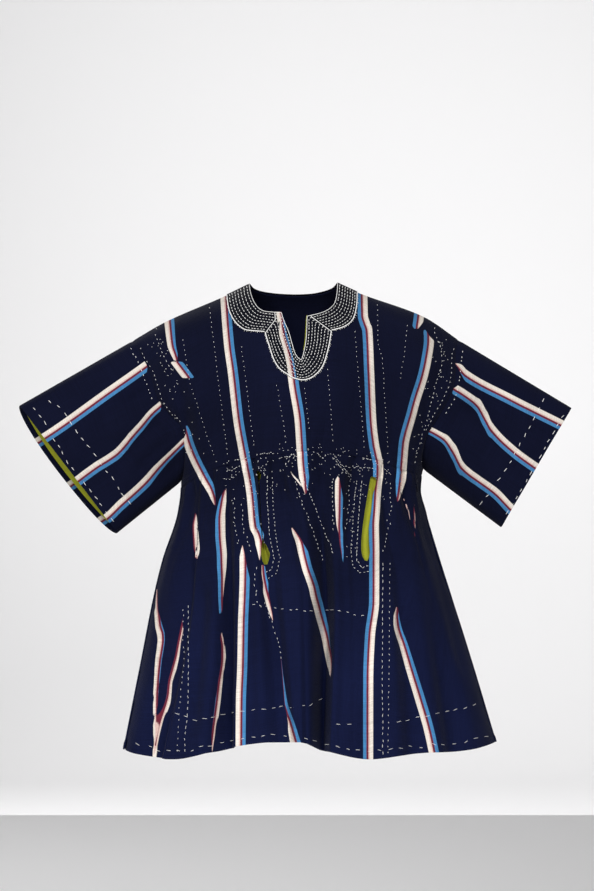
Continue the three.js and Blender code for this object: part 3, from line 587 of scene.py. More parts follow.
def body_panel(side, columns, creases, edge):
    """A body panel's outer layer, its directions square to the cloth, and the cells outside the neckline."""
    form = body_form(side, np.linspace(0, 1, columns), body_v, creases)
    square = square_out(form, side)
    down_run = run_lengths(form, 0)
    dip = seam_dip(to_sides(form)) + seam_dip(down_run[-1:] - down_run, *body_gather_dip)
    outer = form - square * dip[..., None]
    hole = neck_hole(*drawn(outer), edge) > -raw_edge_back
    return outer, square, ~(hole[:-1, :-1] | hole[1:, :-1] | hole[:-1, 1:] | hole[1:, 1:])


front_outer, front_square, cells = body_panel("front", 201, front_creases, neck_edge)
front_body = cloth_piece("front_body", front_outer, front_outer - front_square * cloth_thick, striped_navy,
                         keep=cells, stripes=front_stripes)
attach(front_body, "root")
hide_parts("front_bodice")

# Back body: the same strips over the back, with a shallow plain neckline and a little less depth.
back_stripes = [
    (False, [(-40, -204.5), (-62, -202), (-120, -196), (-200, -178), (-340, -150)]),
    (False, [(10, -114), (-51, -110), (-141, -104), (-219, -99), (-340, -92)]),
    (True, [(0, 105), (-51, 107), (-141, 108), (-219, 108), (-340, 106)]),
    (True, [(-36, 195), (-48, 195), (-141, 190), (-219, 182), (-340, 172)])]
back_drags = [
    ([(-215, -120), (-190, -180), (-170, -270)], -5, 14),
    ([(220, -110), (200, -180), (184, -270)], -5, 14),
    ([(-150, -90), (-140, -180), (-125, -280)], 3, 18),
    ([(-60, -70), (-55, -180), (-50, -275)], -3, 20),
    ([(50, -70), (52, -180), (52, -275)], 3, 20),
    ([(150, -80), (146, -180), (136, -275)], -3, 18)]


def back_creases(x, z):
    """Soft drags across the shoulder blades and hollows beside the strip seams."""
    return creased(x, z, back_drags)


back_outer, back_square, cells = body_panel("back", 171, back_creases, back_neck_edge)
back_body = cloth_piece("back_body", back_outer, back_outer - back_square * cloth_thick, striped_navy,
                        keep=cells, stripes=back_stripes)
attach(back_body, "root")
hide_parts("back_bodice")

# Front skirt: woven strips and flared gores, gathered into the front body, falling in deep soft folds. Each
# fold line has its drawn x at the seam, half-way and at the hem, and how far it stands out there.
fold_levels = np.array([0, 0.52, 1])
front_folds = np.array([
    (-184, -232, -275, 0, 0, 0), (-169, -213, -254, 4, 7, 12), (-155, -176, -222, -4, -8, -14),
    (-145, -163, -202, 5, 6, 11), (-128, -130, -146, -4, 10, 16), (-113, -108, -110, 5, -17, -26),
    (-101, -94, -97, -4, 5, 7), (-85, -72, -72, 5, 3, 3), (-72, -60, -52, -4, 8, 11),
    (-61, -45, -22, 4, -3, -6), (-53, -33, -10, 4, -6, -10), (-38, -17, 2, -4, 9, 11), (-16, 2, 8, 5, 11, 15),
    (4, 14, 18, -4, 5, 7), (21, 53, 46, 5, -32, -42), (46, 61, 54, -4, 12, 17), (62, 82, 80, 5, 11, 17),
    (86, 92, 92, -4, 8, 15), (121, 106, 104, 3, 7, 13), (134, 119, 120, 3, 6, 12), (146, 150, 156, -4, 5, 11),
    (157, 170, 190, 5, -5, -7), (168, 196, 222, -4, 6, 10), (180, 221, 254, 4, -3, -9),
    (191, 241, 288, -2, 4, 8), (201, 256, 322, 0, 0, 0)], float)
hem_line = {
    "front": np.array([
        (-275, -741), (-224, -758), (-192, -760), (-133, -749), (-99, -740), (-37, -733), (6, -733),
        (51, -748), (117, -760), (170, -754), (218, -749), (256, -748), (322, -731)], float),
    "back": np.array([
        (-275, -741), (-160, -722), (20, -715), (210, -717), (322, -731)], float)}
hem_height = {side: smooth_line(rows[:, 0], rows[:, 1]) for side, rows in hem_line.items()}
gathers_full = 0.05  # share of the way down at which the gathers have their full height
skirt_tuck = -0.012  # share of the skirt that is turned in under the body
tuck_depth = 3.6
hem_share, hem_step, hem_turning = 0.026, 0.004, 0.9  # shares of the skirt, and mm that the hem adds
# Painted light and shade: the skirt's cloth is painted lighter below the gathers, and keeps the body's darker
# navy up at the gathers as painted shade.
painted_light_navy = (0.0054, 0.0084, 0.0370)  # the same navy painted lighter: painted light on the skirt's outward flare below the gathers
striped_gore_painted_shading = woven_cloth("striped_gore_painted_shading", painted_light_navy, striped=True, top=navy)


def skirt_form(side, folds, per_fold, v, extra=None):
    """The skirt on a grid: the body's oval on each level, with the height of the folds added square to it.
    Between two fold lines the height eases as half a cosine, and each column falls straight to the hem."""
    v = np.asarray(v, float)
    tucked = np.minimum(v, 0)
    v = np.maximum(v, 0)
    last = len(folds) - 1
    fold = np.concatenate([np.repeat(np.arange(last), per_fold), [last - 1]])
    t = np.concatenate([*[np.arange(k) / k for k in per_fold], [1.0]])
    rail_x = np.stack([smooth_line(fold_levels, f[:3])(v) for f in folds])
    rail_out = np.stack([smooth_line(fold_levels, f[3:6])(v) for f in folds])

    def angle_at(x0, x1, z):
        a = np.where(fold == 0, -np.pi / 2, section_angle(x0, z))
        b = np.where(fold + 1 == last, np.pi / 2, section_angle(x1, z))
        return lerp(a, b, t)

    ends = []
    for row, edge in ((0, gather_height[side]), (-1, hem_height[side])):
        x0, x1 = rail_x[fold, row], rail_x[fold + 1, row]
        x = x0
        for _ in range(8):
            x = section_x(angle_at(x0, x1, edge(x)), edge(x))
        ends.append(edge(x))
    z = lerp(ends[0][None, :], ends[1][None, :], (v + tucked)[:, None])
    angle = angle_at(rail_x[fold].T, rail_x[fold + 1].T, z)
    sin, cos = np.sin(angle), np.maximum(0, np.cos(angle))
    wide = np.where(sin < 0, body_middle - left_edge(z), right_edge(z) - body_middle)
    deep = depth_at[side](z)
    sx = np.sign(sin) * np.abs(sin) ** (2 / squareness)
    sy = cos ** (2 / squareness)
    out = np.stack([np.sign(sx) * np.abs(sx) ** (squareness - 1) / wide, sy ** (squareness - 1) / deep], -1)
    out /= np.linalg.norm(out, axis=-1, keepdims=True)
    ease = (0.5 - 0.5 * np.cos(np.pi * t))[None, :]
    height = lerp(rail_out[fold].T, rail_out[fold + 1].T, ease)
    full_from = np.clip(v / gathers_full, 0, 1)[:, None]
    height = height * full_from * (2 - full_from)
    if extra is not None:
        height = height + extra(body_middle + wide * sx, z, angle, v[:, None])
    x = body_middle + wide * sx
    return stand(x + out[..., 0] * height, z, out_of[side] * (deep * sy + out[..., 1] * height))


def under_seam(grid, square, v):
    """The skirt's outer layer: turned in beside its seams, and tucked under the body above the gathers."""
    down_run = run_lengths(grid, 0)
    from_seam = np.abs(down_run - down_run[2:3])
    tucked = np.maximum(0, v / skirt_tuck)[:, None] * tuck_depth
    dip = seam_dip(to_sides(grid)) + seam_dip(from_seam, *skirt_gather_dip) + tucked
    return grid - square * dip[..., None]


def hemmed(outer, square, v):
    """The skirt's inner layer, further in where the hem is turned up."""
    turned_up = np.clip((v - (1 - hem_share)) / hem_step, 0, 1)[:, None, None]
    return outer - square * (cloth_thick + hem_turning * turned_up)


skirt_drags = [
    ([(60, -395), (65, -520), (58, -752)], 5, 7),
    ([(40, -330), (48, -420), (44, -560), (40, -750)], -6, 12),
    ([(-112, -310), (-110, -420), (-107, -560), (-110, -745)], -5, 9),
    ([(-146, -450), (-152, -560), (-166, -745)], -10, 12),
    ([(188, -345), (222, -440), (246, -540), (272, -650)], -6, 10),
    ([(176, -360), (204, -450), (230, -560), (250, -650)], 4, 12),
    ([(-86, -300), (-80, -350), (-62, -430)], -6, 7),
    ([(-30, -290), (-14, -340), (2, -400), (10, -470)], -7, 8),
    ([(42, -290), (50, -350), (56, -420)], -7, 7),
    ([(90, -292), (84, -350), (80, -430)], -6, 7),
    ([(-60, -400), (-44, -520), (-30, -640), (-24, -735)], -3, 9),
    ([(-205, -480), (-208, -600), (-214, -740)], -4, 9),
    ([(-172, -500), (-190, -600), (-215, -745)], 3, 9),
    ([(160, -510), (180, -610), (210, -740)], -3, 10),
    ([(20, -420), (12, -560), (0, -700)], 3, 18),
    ([(140, -330), (150, -430), (156, -520)], -3, 10),
    ([(-20, -300), (6, -360), (24, -420)], 4, 8)]


def front_skirt_extra(x, z, angle, v):
    """Pleats under the seam, the sharp left edge of the broad fold, the drag lines from the gathers and a
    slow waver of the hanging cloth."""
    relief = creased(x, z, skirt_drags, gather_pleats(angle, v, *front_gathers))
    slow = np.sin(angle * 9 + z / 70) * np.sin(z / 95 + 1.3) * np.clip(v * 3 - 0.4, 0, 1)
    return relief + 1.6 * slow * np.cos(angle)


skirt_stripes = [
    (False, [(-290, -156.5), (-313, -144.5), (-326, -137, -8, 6), (-344, -131, -5, 2),
             (-354, -129.5, -1, 1)]),
    (True, [(-365, -160, -1, 0.6), (-388, -163.8, -1.6, 7.2), (-410, -162.7, -1.6, 7.6),
            (-422, -162, -1.5, 8), (-431, -160.3, -1, 5), (-440, -159, -0.4, 0.5)]),
    (False, [(-488, -222, -2, 0.2), (-517, -221.6, -3.4, 0.6), (-525, -220.8, -5.8, 1),
             (-546, -218.4, -6.7, 4.6), (-560, -214.4, -8, 4.2), (-568, -213.8, -7.6, 3.8),
             (-581, -215.2, -7.2, 3.8), (-602, -218.6, -6.6, 3.8), (-637, -221.9, -5.3, 3.7),
             (-664, -223.4, -5.1, 2.4), (-706, -223.4, -5.1, 1.6), (-762, -226, -3.5, 0.6)]),
    (True, [(-528, -178.4, -1.5, 0.4), (-554, -183.2, -2.4, 3.5), (-574, -187.2, -2.4, 3.6),
            (-595, -191.2, -2.4, 4.6), (-616, -196.8, -2.6, 5.4), (-637, -202, -2.6, 4),
            (-658, -204.3, -2.8, 4.6), (-670, -207.2, -2.6, 6), (-685, -212, -2.4, 5.4),
            (-698, -216.3, -2.4, 4.3), (-718, -221.3, -2.2, 3.9), (-764, -228, -2, 4.4)]),
    (True, [(-326, -112.8, 0, 1.4), (-346, -117.6, -5.4, 6), (-378, -121.6, -7.4, 8.4), (-403, -121),
            (-432, -118.7), (-453, -118, -8.2, 6.6), (-474, -117.3, -7.6, 3.2), (-502, -117.3, -7, 0.4),
            (-525, -116.8, -6.2, -1.4), (-538, -117, -3.4, -2.6)]),
    (True, [(-540, -120.4, -1, 0.6), (-554, -120.8, -1.8, 2), (-581, -117, -2.4, 3.5),
            (-595, -116.8, -2.6, 4.6), (-608, -117.6, -2.6, 3.6), (-637, -122, -2.8, 4.3),
            (-664, -125.3, -3.4, 5), (-691, -128.8, -3, 5), (-718, -132.3, -2.4, 3), (-762, -137, -1, 1)]),
    (False, [(-417, -85, -1.6, -0.6), (-435, -82, -8.2, 0.6), (-452, -82, -8.2, 3.4), (-470, -82.2),
             (-499, -83), (-538, -84.6), (-611, -86), (-670, -88.2), (-762, -88.8)]),
    (False, [(-262, -84), (-290, -79), (-314, -74.4), (-342, -70.4), (-371, -68), (-387, -66), (-402, -59.5),
             (-416, -56.6, -8.2, 2), (-435, -56, -4, -1), (-443, -56.4, -2, -1.6)]),
    (False, [(-449, -54, -1, 4), (-464, -52.8, -2, 5), (-478, -50.4, -2, 6), (-493, -47.2, -5, 3),
             (-514, -41, -6, 0.5), (-528, -37.8, -4.4, 0.2), (-538, -36.6, -1, 0)]),
    (False, [(-594, -27, 2, 2.6), (-626, -24, 1.6, 3.4), (-656, -21.6, 2, 5.5), (-670, -20.5, 2.2, 7),
             (-685, -16, 0.8, 6.8), (-701, -10.2, -2.4, 7), (-715, -6, -6.2, 7.6), (-731, -1.4), (-745, 3)]),
    (False, [(-255, 9), (-285, 10.5), (-309, 13), (-328, 14.6, -3, 4), (-336, 15.4, -0.6, 0.4)]),
    (True, [(-299, -12.5, 2.2, 3.4), (-308, -7, 2.2, 4.6), (-316, -0.6, 2.2, 4.8), (-324, 5.4, 2.2, 3.4)]),
    (False, [(-389, -5.8, -1.4, -0.4), (-399, 1.1, -5.6, 0.6), (-414, 8.3, -8.2, 2.6),
             (-427, 11.2, -8.2, 7.6), (-442, 14.7), (-456, 18.4), (-470, 23.4), (-485, 28.3), (-499, 31.4),
             (-514, 35.5), (-528, 39), (-552, 45.8, -8.2, 6.6), (-567, 49.6, -8.2, 4.6),
             (-582, 52.5, -8.2, 3), (-597, 55.4, -8.2, 1.8), (-611, 56.8, -7.2, 0), (-632, 56, -1.8, -1.4)]),
    (False, [(-306, 70.4, -3, -2), (-314, 69.6, -6.8, 0.4), (-328, 69.2, -6.8, 3.4), (-342, 69, -6.6, 6.2),
             (-371, 68.5, -4.8, 5.8), (-386, 68, -3, 6), (-400, 68.5, 0, 6.8), (-413, 68.8, 0.8, 6.4),
             (-427, 70.4, 1.6, 5.8), (-452, 72, 2.6, 3.2)]),
    (True, [(-258, 125), (-272, 128), (-291, 131.5), (-303, 131.5), (-318, 129.5), (-340, 127.5),
            (-360, 126.4), (-386, 124.6), (-429, 125.2), (-506, 125), (-562, 118.4), (-630, 115.6),
            (-700, 115.4), (-770, 115.4)]),
    (False, [(-516, 161.6, -1, 1), (-530, 160.8, -4.4, 4), (-544, 162, -5.8, 5.6), (-579, 172.8, -6.8, 6.8),
             (-614, 183.2, -7.6, 7.6), (-666, 199.2), (-710, 212), (-765, 224)]),
    (True, [(-282, 170), (-300, 169), (-314, 167.6), (-334, 165, -5, 4), (-348, 163, -0.8, 0.6)]),
    (True, [(-342, 171, 0, 1), (-360, 177, 0.2, 3), (-378, 182, 0, 0.8)]),
    (True, [(-352, 189, -0.6, 0.6), (-380, 189.6, -1.4, 1.4), (-404, 190, -0.4, 0.4)])]

# Each slit is one cell wide in the grid; its two sides are then drawn apart to the slit's own edges.
slits = {  # z, left side and right side, as drawn
    "left": np.array([
        (-296, -64, -61), (-302, -63.5, -55), (-308, -62.5, -55.5), (-314, -60.6, -58.4),
        (-340, -58.6, -57.2), (-380, -56.6, -55.2), (-410, -54.4, -52.2), (-420, -55.4, -46),
        (-432, -55.8, -41.4), (-442, -54, -43.6), (-450, -49.6, -46.6)], float),
    "right": np.array([
        (-306, 121.6, 128.6), (-311, 119, 130), (-322, 117, 127.6), (-338, 114.4, 123.4), (-365, 110, 120.4),
        (-392, 106.4, 116.6), (-416, 104.2, 117), (-430, 104.4, 118.4), (-438, 106, 117),
        (-444, 110, 114)], float)}
slit_folds = {"left": 9, "right": 18}
per_front_fold = np.array([9, 9, 8, 8, 8, 8, 7, 8, 6, 5, 7, 9, 9, 14, 8, 8, 8, 8, 5, 8, 9, 9, 9, 9, 10])
skirt_v = levels(skirt_tuck, 0.04, 7, 158)
skirt_grid = skirt_form("front", front_folds, per_front_fold, skirt_v, front_skirt_extra)
bag_square = square_out(skirt_grid, "front")
skirt_outer = under_seam(skirt_grid, bag_square, skirt_v)
skirt_keep = np.ones((skirt_outer.shape[0] - 1, skirt_outer.shape[1] - 1), bool)
slit_reach = 12  # columns on each side that give way
slit_fade = 14  # mm above and below a slit in which the columns come together again
roll_columns = 2.2  # how far the slit's rolled edge reaches
x, z = drawn(skirt_outer)
slid_x, roll = x.copy(), 0
for hand, edges in slits.items():
    column = per_front_fold[:slit_folds[hand]].sum() + per_front_fold[slit_folds[hand]] // 2
    order = np.argsort(edges[:, 0])
    here = (z[:, column] <= edges[:, 0].max()) & (z[:, column] >= edges[:, 0].min())
    for own, step, k in ((column, -1, 1), (column + 1, 1, 2)):
        target = np.interp(z[:, own], edges[order, 0], edges[order, k])
        middle = np.interp(z[:, own], edges[order, 0], edges[order, 1:].mean(1))
        beyond = np.maximum(z[:, own] - edges[:, 0].max(), edges[:, 0].min() - z[:, own])
        fade = np.clip(1 - beyond / slit_fade, 0, 1)
        fade = fade * fade * (3 - 2 * fade)
        move = np.where(here, target - x[:, own], (middle + step * 0.4 - x[:, own]) * fade)
        away = np.arange(slit_reach)
        slid_x[:, own + step * away] += move[:, None] * np.cos(away / slit_reach * np.pi / 2) ** 2
    skirt_keep[here[:-1] & here[1:], column] = False
    off = np.arange(skirt_outer.shape[1])[None, :] - column - 0.5
    roll = roll + here[:, None] * np.exp(-(off / roll_columns) ** 2)
for row, (want, have) in enumerate(zip(slid_x, x)):
    skirt_outer[row] = np.stack([np.interp(want, have, skirt_outer[row, :, k]) for k in range(3)], -1)
skirt_square = square_out(skirt_outer, "front")
skirt_outer = skirt_outer + skirt_square * roll[..., None]
front_skirt = cloth_piece("front_skirt", skirt_outer, hemmed(skirt_outer, skirt_square, skirt_v),
                          striped_gore_painted_shading, keep=skirt_keep, stripes=skirt_stripes)
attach(front_skirt, "root")
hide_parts("skirt_front")

# Back skirt: the same gores gathered into the back body in eight even folds, a guess at what can't be seen.
back_folds = np.array([
    (-184, -232, -275, 0, 0, 0), (-165, -200, -245, 5, 8, 12), (-145, -170, -208, -4, -9, -13),
    (-122, -138, -165, 5, 9, 14), (-98, -105, -122, -4, -10, -15), (-75, -72, -84, 5, 9, 13),
    (-50, -44, -48, -4, -9, -13), (-24, -16, -14, 5, 9, 15), (2, 14, 20, -4, -10, -16),
    (28, 46, 56, 5, 9, 14), (54, 78, 94, -4, -9, -14), (80, 110, 132, 5, 9, 14),
    (106, 142, 172, -4, -10, -15), (132, 174, 212, 5, 9, 14), (158, 206, 254, -4, -9, -12),
    (182, 234, 290, 5, 7, 10), (201, 256, 322, 0, 0, 0)], float)
back_skirt_stripes = [
    (False, [(-280, -155), (-330, -150), (-500, -180), (-750, -222)]),
    (False, [(-280, -96), (-330, -92), (-500, -100), (-750, -116)]),
    (False, [(-400, -134, -1, 1), (-440, -139, -6, 5), (-500, -144), (-750, -170)]),
    (False, [(-385, 4, -1, 1), (-430, 7, -5, 6), (-500, 12), (-750, 22)]),
    (True, [(-390, -46, -1, 1), (-430, -46, -5, 6), (-500, -42), (-750, -46)]),
    (True, [(-280, 106), (-330, 107), (-500, 136), (-750, 168)]),
    (False, [(-395, 56, -1, 1), (-430, 60, -5, 6), (-500, 74), (-750, 94)]),
    (True, [(-280, 174), (-330, 172), (-500, 200), (-750, 250)])]


def back_skirt_extra(x, z, angle, v):
    """Pleats under the seam and a slow waver of the hanging cloth."""
    slow = np.sin(angle * 8 + z / 80 + 2) * np.sin(z / 90 + 0.4) * np.clip(v * 3 - 0.4, 0, 1)
    return gather_pleats(angle, v, *back_gathers) + 2.0 * slow * np.cos(angle)


per_back_fold = np.full(len(back_folds) - 1, 12)
back_skirt_v = levels(skirt_tuck, 0.04, 6, 140)
back_grid = skirt_form("back", back_folds, per_back_fold, back_skirt_v, back_skirt_extra)
back_skirt_square = square_out(back_grid, "back")
back_skirt_outer = under_seam(back_grid, back_skirt_square, back_skirt_v)
back_skirt_inner = hemmed(back_skirt_outer, back_skirt_square, back_skirt_v)
back_skirt = cloth_piece("back_skirt", back_skirt_outer, back_skirt_inner, striped_gore_painted_shading,
                         stripes=back_skirt_stripes)
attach(back_skirt, "root")
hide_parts("skirt_back")

# Sleeves: wide open tubes of the same strips, which run along the arm, set into the armholes and hemmed at
# the cuff. The cuff is a flattened oval; at the left one the back edge hangs past the front edge.
sleeve_cut = {
    "left": dict(top=(-442, -194), bottom=(-286, -398), half_depth=42, back_hangs=16),
    "right": dict(top=(441, -198), bottom=(328, -389), half_depth=42, back_hangs=0)}
sleeve_folds = {  # start on the armhole, end on the cuff, height at both, width
    "left": [(0.62, 0.3, 2, 5, 0.12), (0.86, 0.66, -9, -3, 0.1), (1.3, 1.45, 4, 6, 0.14)],
    "right": [(0.58, 0.34, -8, -2, 0.1), (0.78, 0.62, 6, 3, 0.12), (1.35, 1.5, 5, 6, 0.14)]}
sleeve_drags = {
    "left": [
        ([(-206, -212), (-236, -236), (-262, -262), (-296, -292)], -4, 12),
        ([(-240, -150), (-290, -176), (-350, -214)], 3, 18),
        ([(-226, -166), (-262, -186), (-300, -196)], -3, 9),
        ([(-216, -190), (-262, -226), (-312, -244)], 3.5, 10),
        ([(-190, -236), (-220, -262), (-262, -306)], -4, 10),
        ([(-330, -200), (-350, -250), (-352, -300)], 2.5, 16),
        ([(-200, -268), (-240, -300), (-290, -340)], 3, 16)],
    "right": [
        ([(262, -190), (292, -206), (318, -240), (352, -285)], -5, 11),
        ([(250, -240), (266, -280), (290, -318)], 4, 11),
        ([(254, -146), (296, -164), (350, -178)], -3, 9),
        ([(230, -222), (262, -250), (286, -296), (300, -330)], -4, 9),
        ([(300, -214), (318, -252), (352, -292)], 4, 9),
        ([(370, -190), (372, -240), (350, -300)], 2.5, 16),
        ([(280, -120), (330, -150), (390, -190)], 3, 18)]}
sleeve_stripes = {  # whether blue comes first, then x, -z of the middle, and limits
    "left": [
        (False, [(-470, 285), (-399, 244), (-300, 174), (-242, 133), (-238, 130)]),
        (False, [(-420, 362), (-352, 317), (-334, 303.5), (-317, 291.5), (-300, 281), (-286, 271),
                 (-272, 256, -7.4, 7.2), (-265, 247, -7, 7), (-247.5, 227, -6.6, 6.6),
                 (-230, 206.5, -6.4, 6), (-216, 194, -6.4, 6)]),
        (False, [(-360, 410), (-303, 375), (-279, 352.5), (-251, 327.5), (-237, 313.6), (-223, 297, -6.6, 7),
                 (-209, 281.6, -5.4, 6), (-195.4, 268, -5, 5.4), (-170, 243, -5, 5)])],
    "right": [
        (False, [(254.5, 127, -0.3, 0.3), (259, 132, -3.5, 1), (265, 139, -7, 4), (272, 146), (340, 183),
                 (426, 226), (480, 253)]),
        (False, [(250, 165, 2, 8), (254, 168, -2, 8), (259, 171), (270, 178), (290, 194), (303, 216),
                 (312, 232), (347, 267), (388, 297), (440, 333)]),
        (False, [(206, 231, -6, 6), (217, 236, -6.4, 6), (228, 242, -6.6, 6.4), (238, 249, -7, 7),
                 (252, 269), (265, 293), (278, 305), (292, 315), (318, 334), (348, 364), (400, 402)])]}


def sleeve_creases(hand, x, z, share):
    """Drags from the armhole and the underarm, and the bend of the striped middle. All but the last of a
    table lie on the front half only."""
    *on_front, all_round = sleeve_drags[hand]
    return creased(x, z, on_front) * (share < 1) + creased(x, z, [all_round])


def sleeve_form(hand, v):
    """A sleeve on a ring grid: straight lines from the armhole ring to the cuff's oval, with each soft fold a
    bell curve round the ring. Share runs shoulder, front, underarm, back, from 0 to 2."""
    cut = sleeve_cut[hand]
    column = 0 if hand == "left" else -1
    upper = body_v[body_v < underarm]
    down = body_form("front", [0.0, 1.0], np.concatenate([upper, [underarm]]))[:, column]
    up = body_form("back", [0.0, 1.0], np.concatenate([upper, [underarm]]))[:, column]
    ring = np.concatenate([down, up[-2:0:-1]])
    even = np.linspace(0, 1, len(ring_marks))
    mark = np.interp(np.concatenate([upper, [underarm]]), ring_marks, even)
    share = np.concatenate([mark, 2 - mark[-2:0:-1]])[None, :]
    angle = np.pi * share
    top, bottom = np.array(cut["top"], float), np.array(cut["bottom"], float)
    out = np.array([bottom[1] - top[1], top[0] - bottom[0]])
    out *= np.sign(out[0] * top[0]) / np.linalg.norm(out)
    hang = np.maximum(0, -np.sin(angle)) * cut["back_hangs"]
    way = 0.5 - 0.5 * np.cos(angle)
    x, z = (lerp(top[k], bottom[k], way) + out[k] * hang for k in (0, 1))
    cuff = stand(x, z, -cut["half_depth"] * np.sin(angle))
    v = np.asarray(v, float)[:, None]
    grid = lerp(ring[None, :, :], cuff, v[..., None])
    swell = 0
    for start, end, high, low, wide in sleeve_folds[hand]:
        off = (share - lerp(start, end, v)) / wide
        swell = swell + lerp(high, low, np.maximum(0, v)) * np.exp(-(off ** 2))
    x, z = drawn(grid)
    swell = swell + sleeve_creases(hand, x, z, share)
    grid[..., 1] += (-np.sign(np.sin(angle)) * swell * np.clip(v / 0.13, 0, 1)
                     * np.sqrt(np.abs(np.sin(angle))))
    return grid


hem_inside = 8.0  # mm of the cuff's own turning that shows before the facing starts
cuff_turning = 1.9  # mm that it adds
sleeve_tuck = -0.05  # share of the sleeve that is turned in under the body
sleeve_tuck_depth, underarm_ease, ease_columns = 4.2, 2.6, 16.0  # mm, less by the ease beside the underarm
sleeve_v = levels(sleeve_tuck, 0.02, 4, 96)
sleeve_grids, sleeve_outers = {}, {}
for hand in ("left", "right"):
    grid = sleeve_form(hand, sleeve_v)
    square = square_to(grid, wrap=True)
    away = grid - grid.mean(1, keepdims=True)
    square *= np.sign(np.sum(square * away, -1).mean())
    sleeve_grids[hand] = (grid, square)
    run = np.abs(run_lengths(grid, 0) - run_lengths(grid, 0)[2:3])
    underarm_column = int(np.sum(body_v < underarm))
    at_underarm = np.exp(-(((np.arange(grid.shape[1]) - underarm_column) / ease_columns) ** 2))
    depth = sleeve_tuck_depth - underarm_ease * at_underarm
    turned_in = np.maximum(0, sleeve_v / sleeve_tuck)[:, None] * depth[None, :]
    outer = grid - square * (seam_dip(run, *armhole_dip) + turned_in)[..., None]
    sleeve_outers[hand] = (outer, square)
    turned = np.clip((run - (run[-1:] - hem_inside)) / 1.0, 0, 1)[..., None]
    inner = outer - square * (cloth_thick + cuff_turning * turned)
    sleeve = cloth_piece(f"{hand}_sleeve", outer, inner, striped_navy, wrap=True, stripes=sleeve_stripes[hand],
                         sleeve=True)
    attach(sleeve, "root")
    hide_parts(f"sleeve_{hand}")

# Cuff facings: bands of lime green cotton inside each cuff, stitched down a hem's width from its edge.
lime = (0.30, 0.315, 0.022)
lime_cotton = woven_cloth("lime_cotton", lime, thread=0.7, rough=0.7, sheen=0.1, rib=0.15)
facing_from = 0.765  # share of the sleeve at which the facing starts
facing_inset, lining_thick, hem_gap = 2.3, 1.2, 0.4
for hand in ("left", "right"):
    grid, square = sleeve_grids[hand]
    run = run_lengths(grid, 0)
    share = np.linspace(0, 1, 26)[:, None]
    columns = range(grid.shape[1])
    low = np.array([np.interp(facing_from, sleeve_v, run[:, i]) for i in columns])
    at = lerp(low[None, :], run[-1:] - hem_inside - hem_gap, share)
    band = np.stack([np.stack([np.interp(at[:, i], run[:, i], grid[:, i, k]) for i in columns], 1)
                     for k in range(3)], -1)
    band_square = square_to(band, wrap=True)
    band_square *= np.sign(np.sum(band_square * (band - band.mean(1, keepdims=True)), -1).mean())
    outer = band - band_square * facing_inset
    facing = cloth_piece(f"{hand}_cuff_facing", outer, outer - band_square * lining_thick, lime_cotton,
                         wrap=True)
    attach(facing, "root")
    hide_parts(f"cuff_facing_{hand}")

# Pocket bags: one sheet of green cotton behind each slit, a little rumpled, seen through its opening.
bag_inside = {"left": 11.0, "right": 4.4}  # mm behind the skirt
bag_columns, bag_levels = (-10, 15), (0.035, 0.45)  # the part of the skirt's grid that it lies behind
for hand, fold in slit_folds.items():
    column = per_front_fold[:fold].sum() + per_front_fold[fold] // 2
    rows = np.nonzero((skirt_v > bag_levels[0]) & (skirt_v < bag_levels[1]))[0]
    wide = slice(column + bag_columns[0], column + bag_columns[1])
    inward = bag_square[rows][:, wide]
    across, down = np.arange(inward.shape[1])[None, :], np.arange(len(rows))[:, None]
    rumple = 1.1 * np.sin(1.25 * across + 1.5 * np.sin(0.21 * down)) + 0.6 * np.sin(0.5 * down)
    outer = skirt_grid[rows][:, wide] - inward * (bag_inside[hand] + rumple)[..., None]
    bag = cloth_piece(f"{hand}_pocket_bag", outer, outer - inward * lining_thick, lime_cotton)
    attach(bag, "root")
    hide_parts(f"pocket_bag_{hand}")

# Neck facing: dark cotton laid on the outside of the neck in four pieces, two over the shoulders, a U round
# the slit, and one across the back. Each has rows of white running stitch and a cord sewn on its edge.
facing_dark = (0.0040, 0.0045, 0.0090)
facing_cotton = woven_cloth("facing_cotton", facing_dark, thread=0.8, rough=0.8, sheen=0.02, rib=0.2)
facing_gap, facing_thick = 0.35, 1.2
facing_rows = {  # inner edge x, z and outer edge x, z, matched pair by pair
    "left": np.array([
        (-73.6, 0, -110.4, -17.6), (-72.3, -9.6, -109.6, -27), (-68.8, -22.4, -107.6, -40),
        (-64, -32, -102.5, -53), (-56.8, -40, -93.6, -65.6), (-48, -43.7, -79, -74.6),
        (-35.4, -44.8, -50.6, -77)], float),
    "centre": np.array([
        (-35.0, -44.8, -49.6, -78.4), (-24, -44.8, -47, -88), (-20.8, -52.8, -43.2, -99.2),
        (-17.6, -60.8, -39, -113), (-11.2, -75.2, -33.6, -125.6), (-5.4, -96, -25.4, -136.5),
        (-0.8, -110.5, -14.4, -144), (4.4, -117.6, -3, -150.6), (8.2, -120.2, 11.2, -153.6),
        (10.4, -115, 22, -151.2), (12.8, -104, 33, -144), (14, -97.6, 43.2, -131.2),
        (15.2, -88, 49.6, -112.8), (16.4, -70, 53.6, -97), (17.6, -51.2, 56, -83),
        (25.4, -49.6, 57, -75.8)], float),
    "right": np.array([
        (25.8, -49.4, 57.6, -74.6), (38.4, -46.4, 72, -71), (49.6, -41.6, 83, -65.6), (56.8, -36, 91, -57.2),
        (61.6, -28.8, 95.2, -45), (64.5, -14.4, 97.3, -30), (65.6, 1.6, 97.6, -12.8)], float),
    "back": np.array([
        (-73.6, 0, -110.4, -17.6), (-66, -8, -96, -32.4), (-50, -13, -69, -39), (-25, -16, -35, -42),
        (0, -17, 0, -43), (22, -16, 30, -42), (44, -12, 62, -37), (59, -6, 84, -28.6),
        (65.6, 1.6, 97.6, -12.8)], float)}
seam_turn = {"left": (-33.6, -57.6), "right": (25.2, -52.8)}
seam_ends = {  # the seam at each end of a piece
    "left": (None, "left"), "centre": ("left", "right"), "right": ("right", None), "back": (None, None)}
at_shoulder = {"left": (True, False), "centre": (False, False), "right": (False, True), "back": (True, True)}


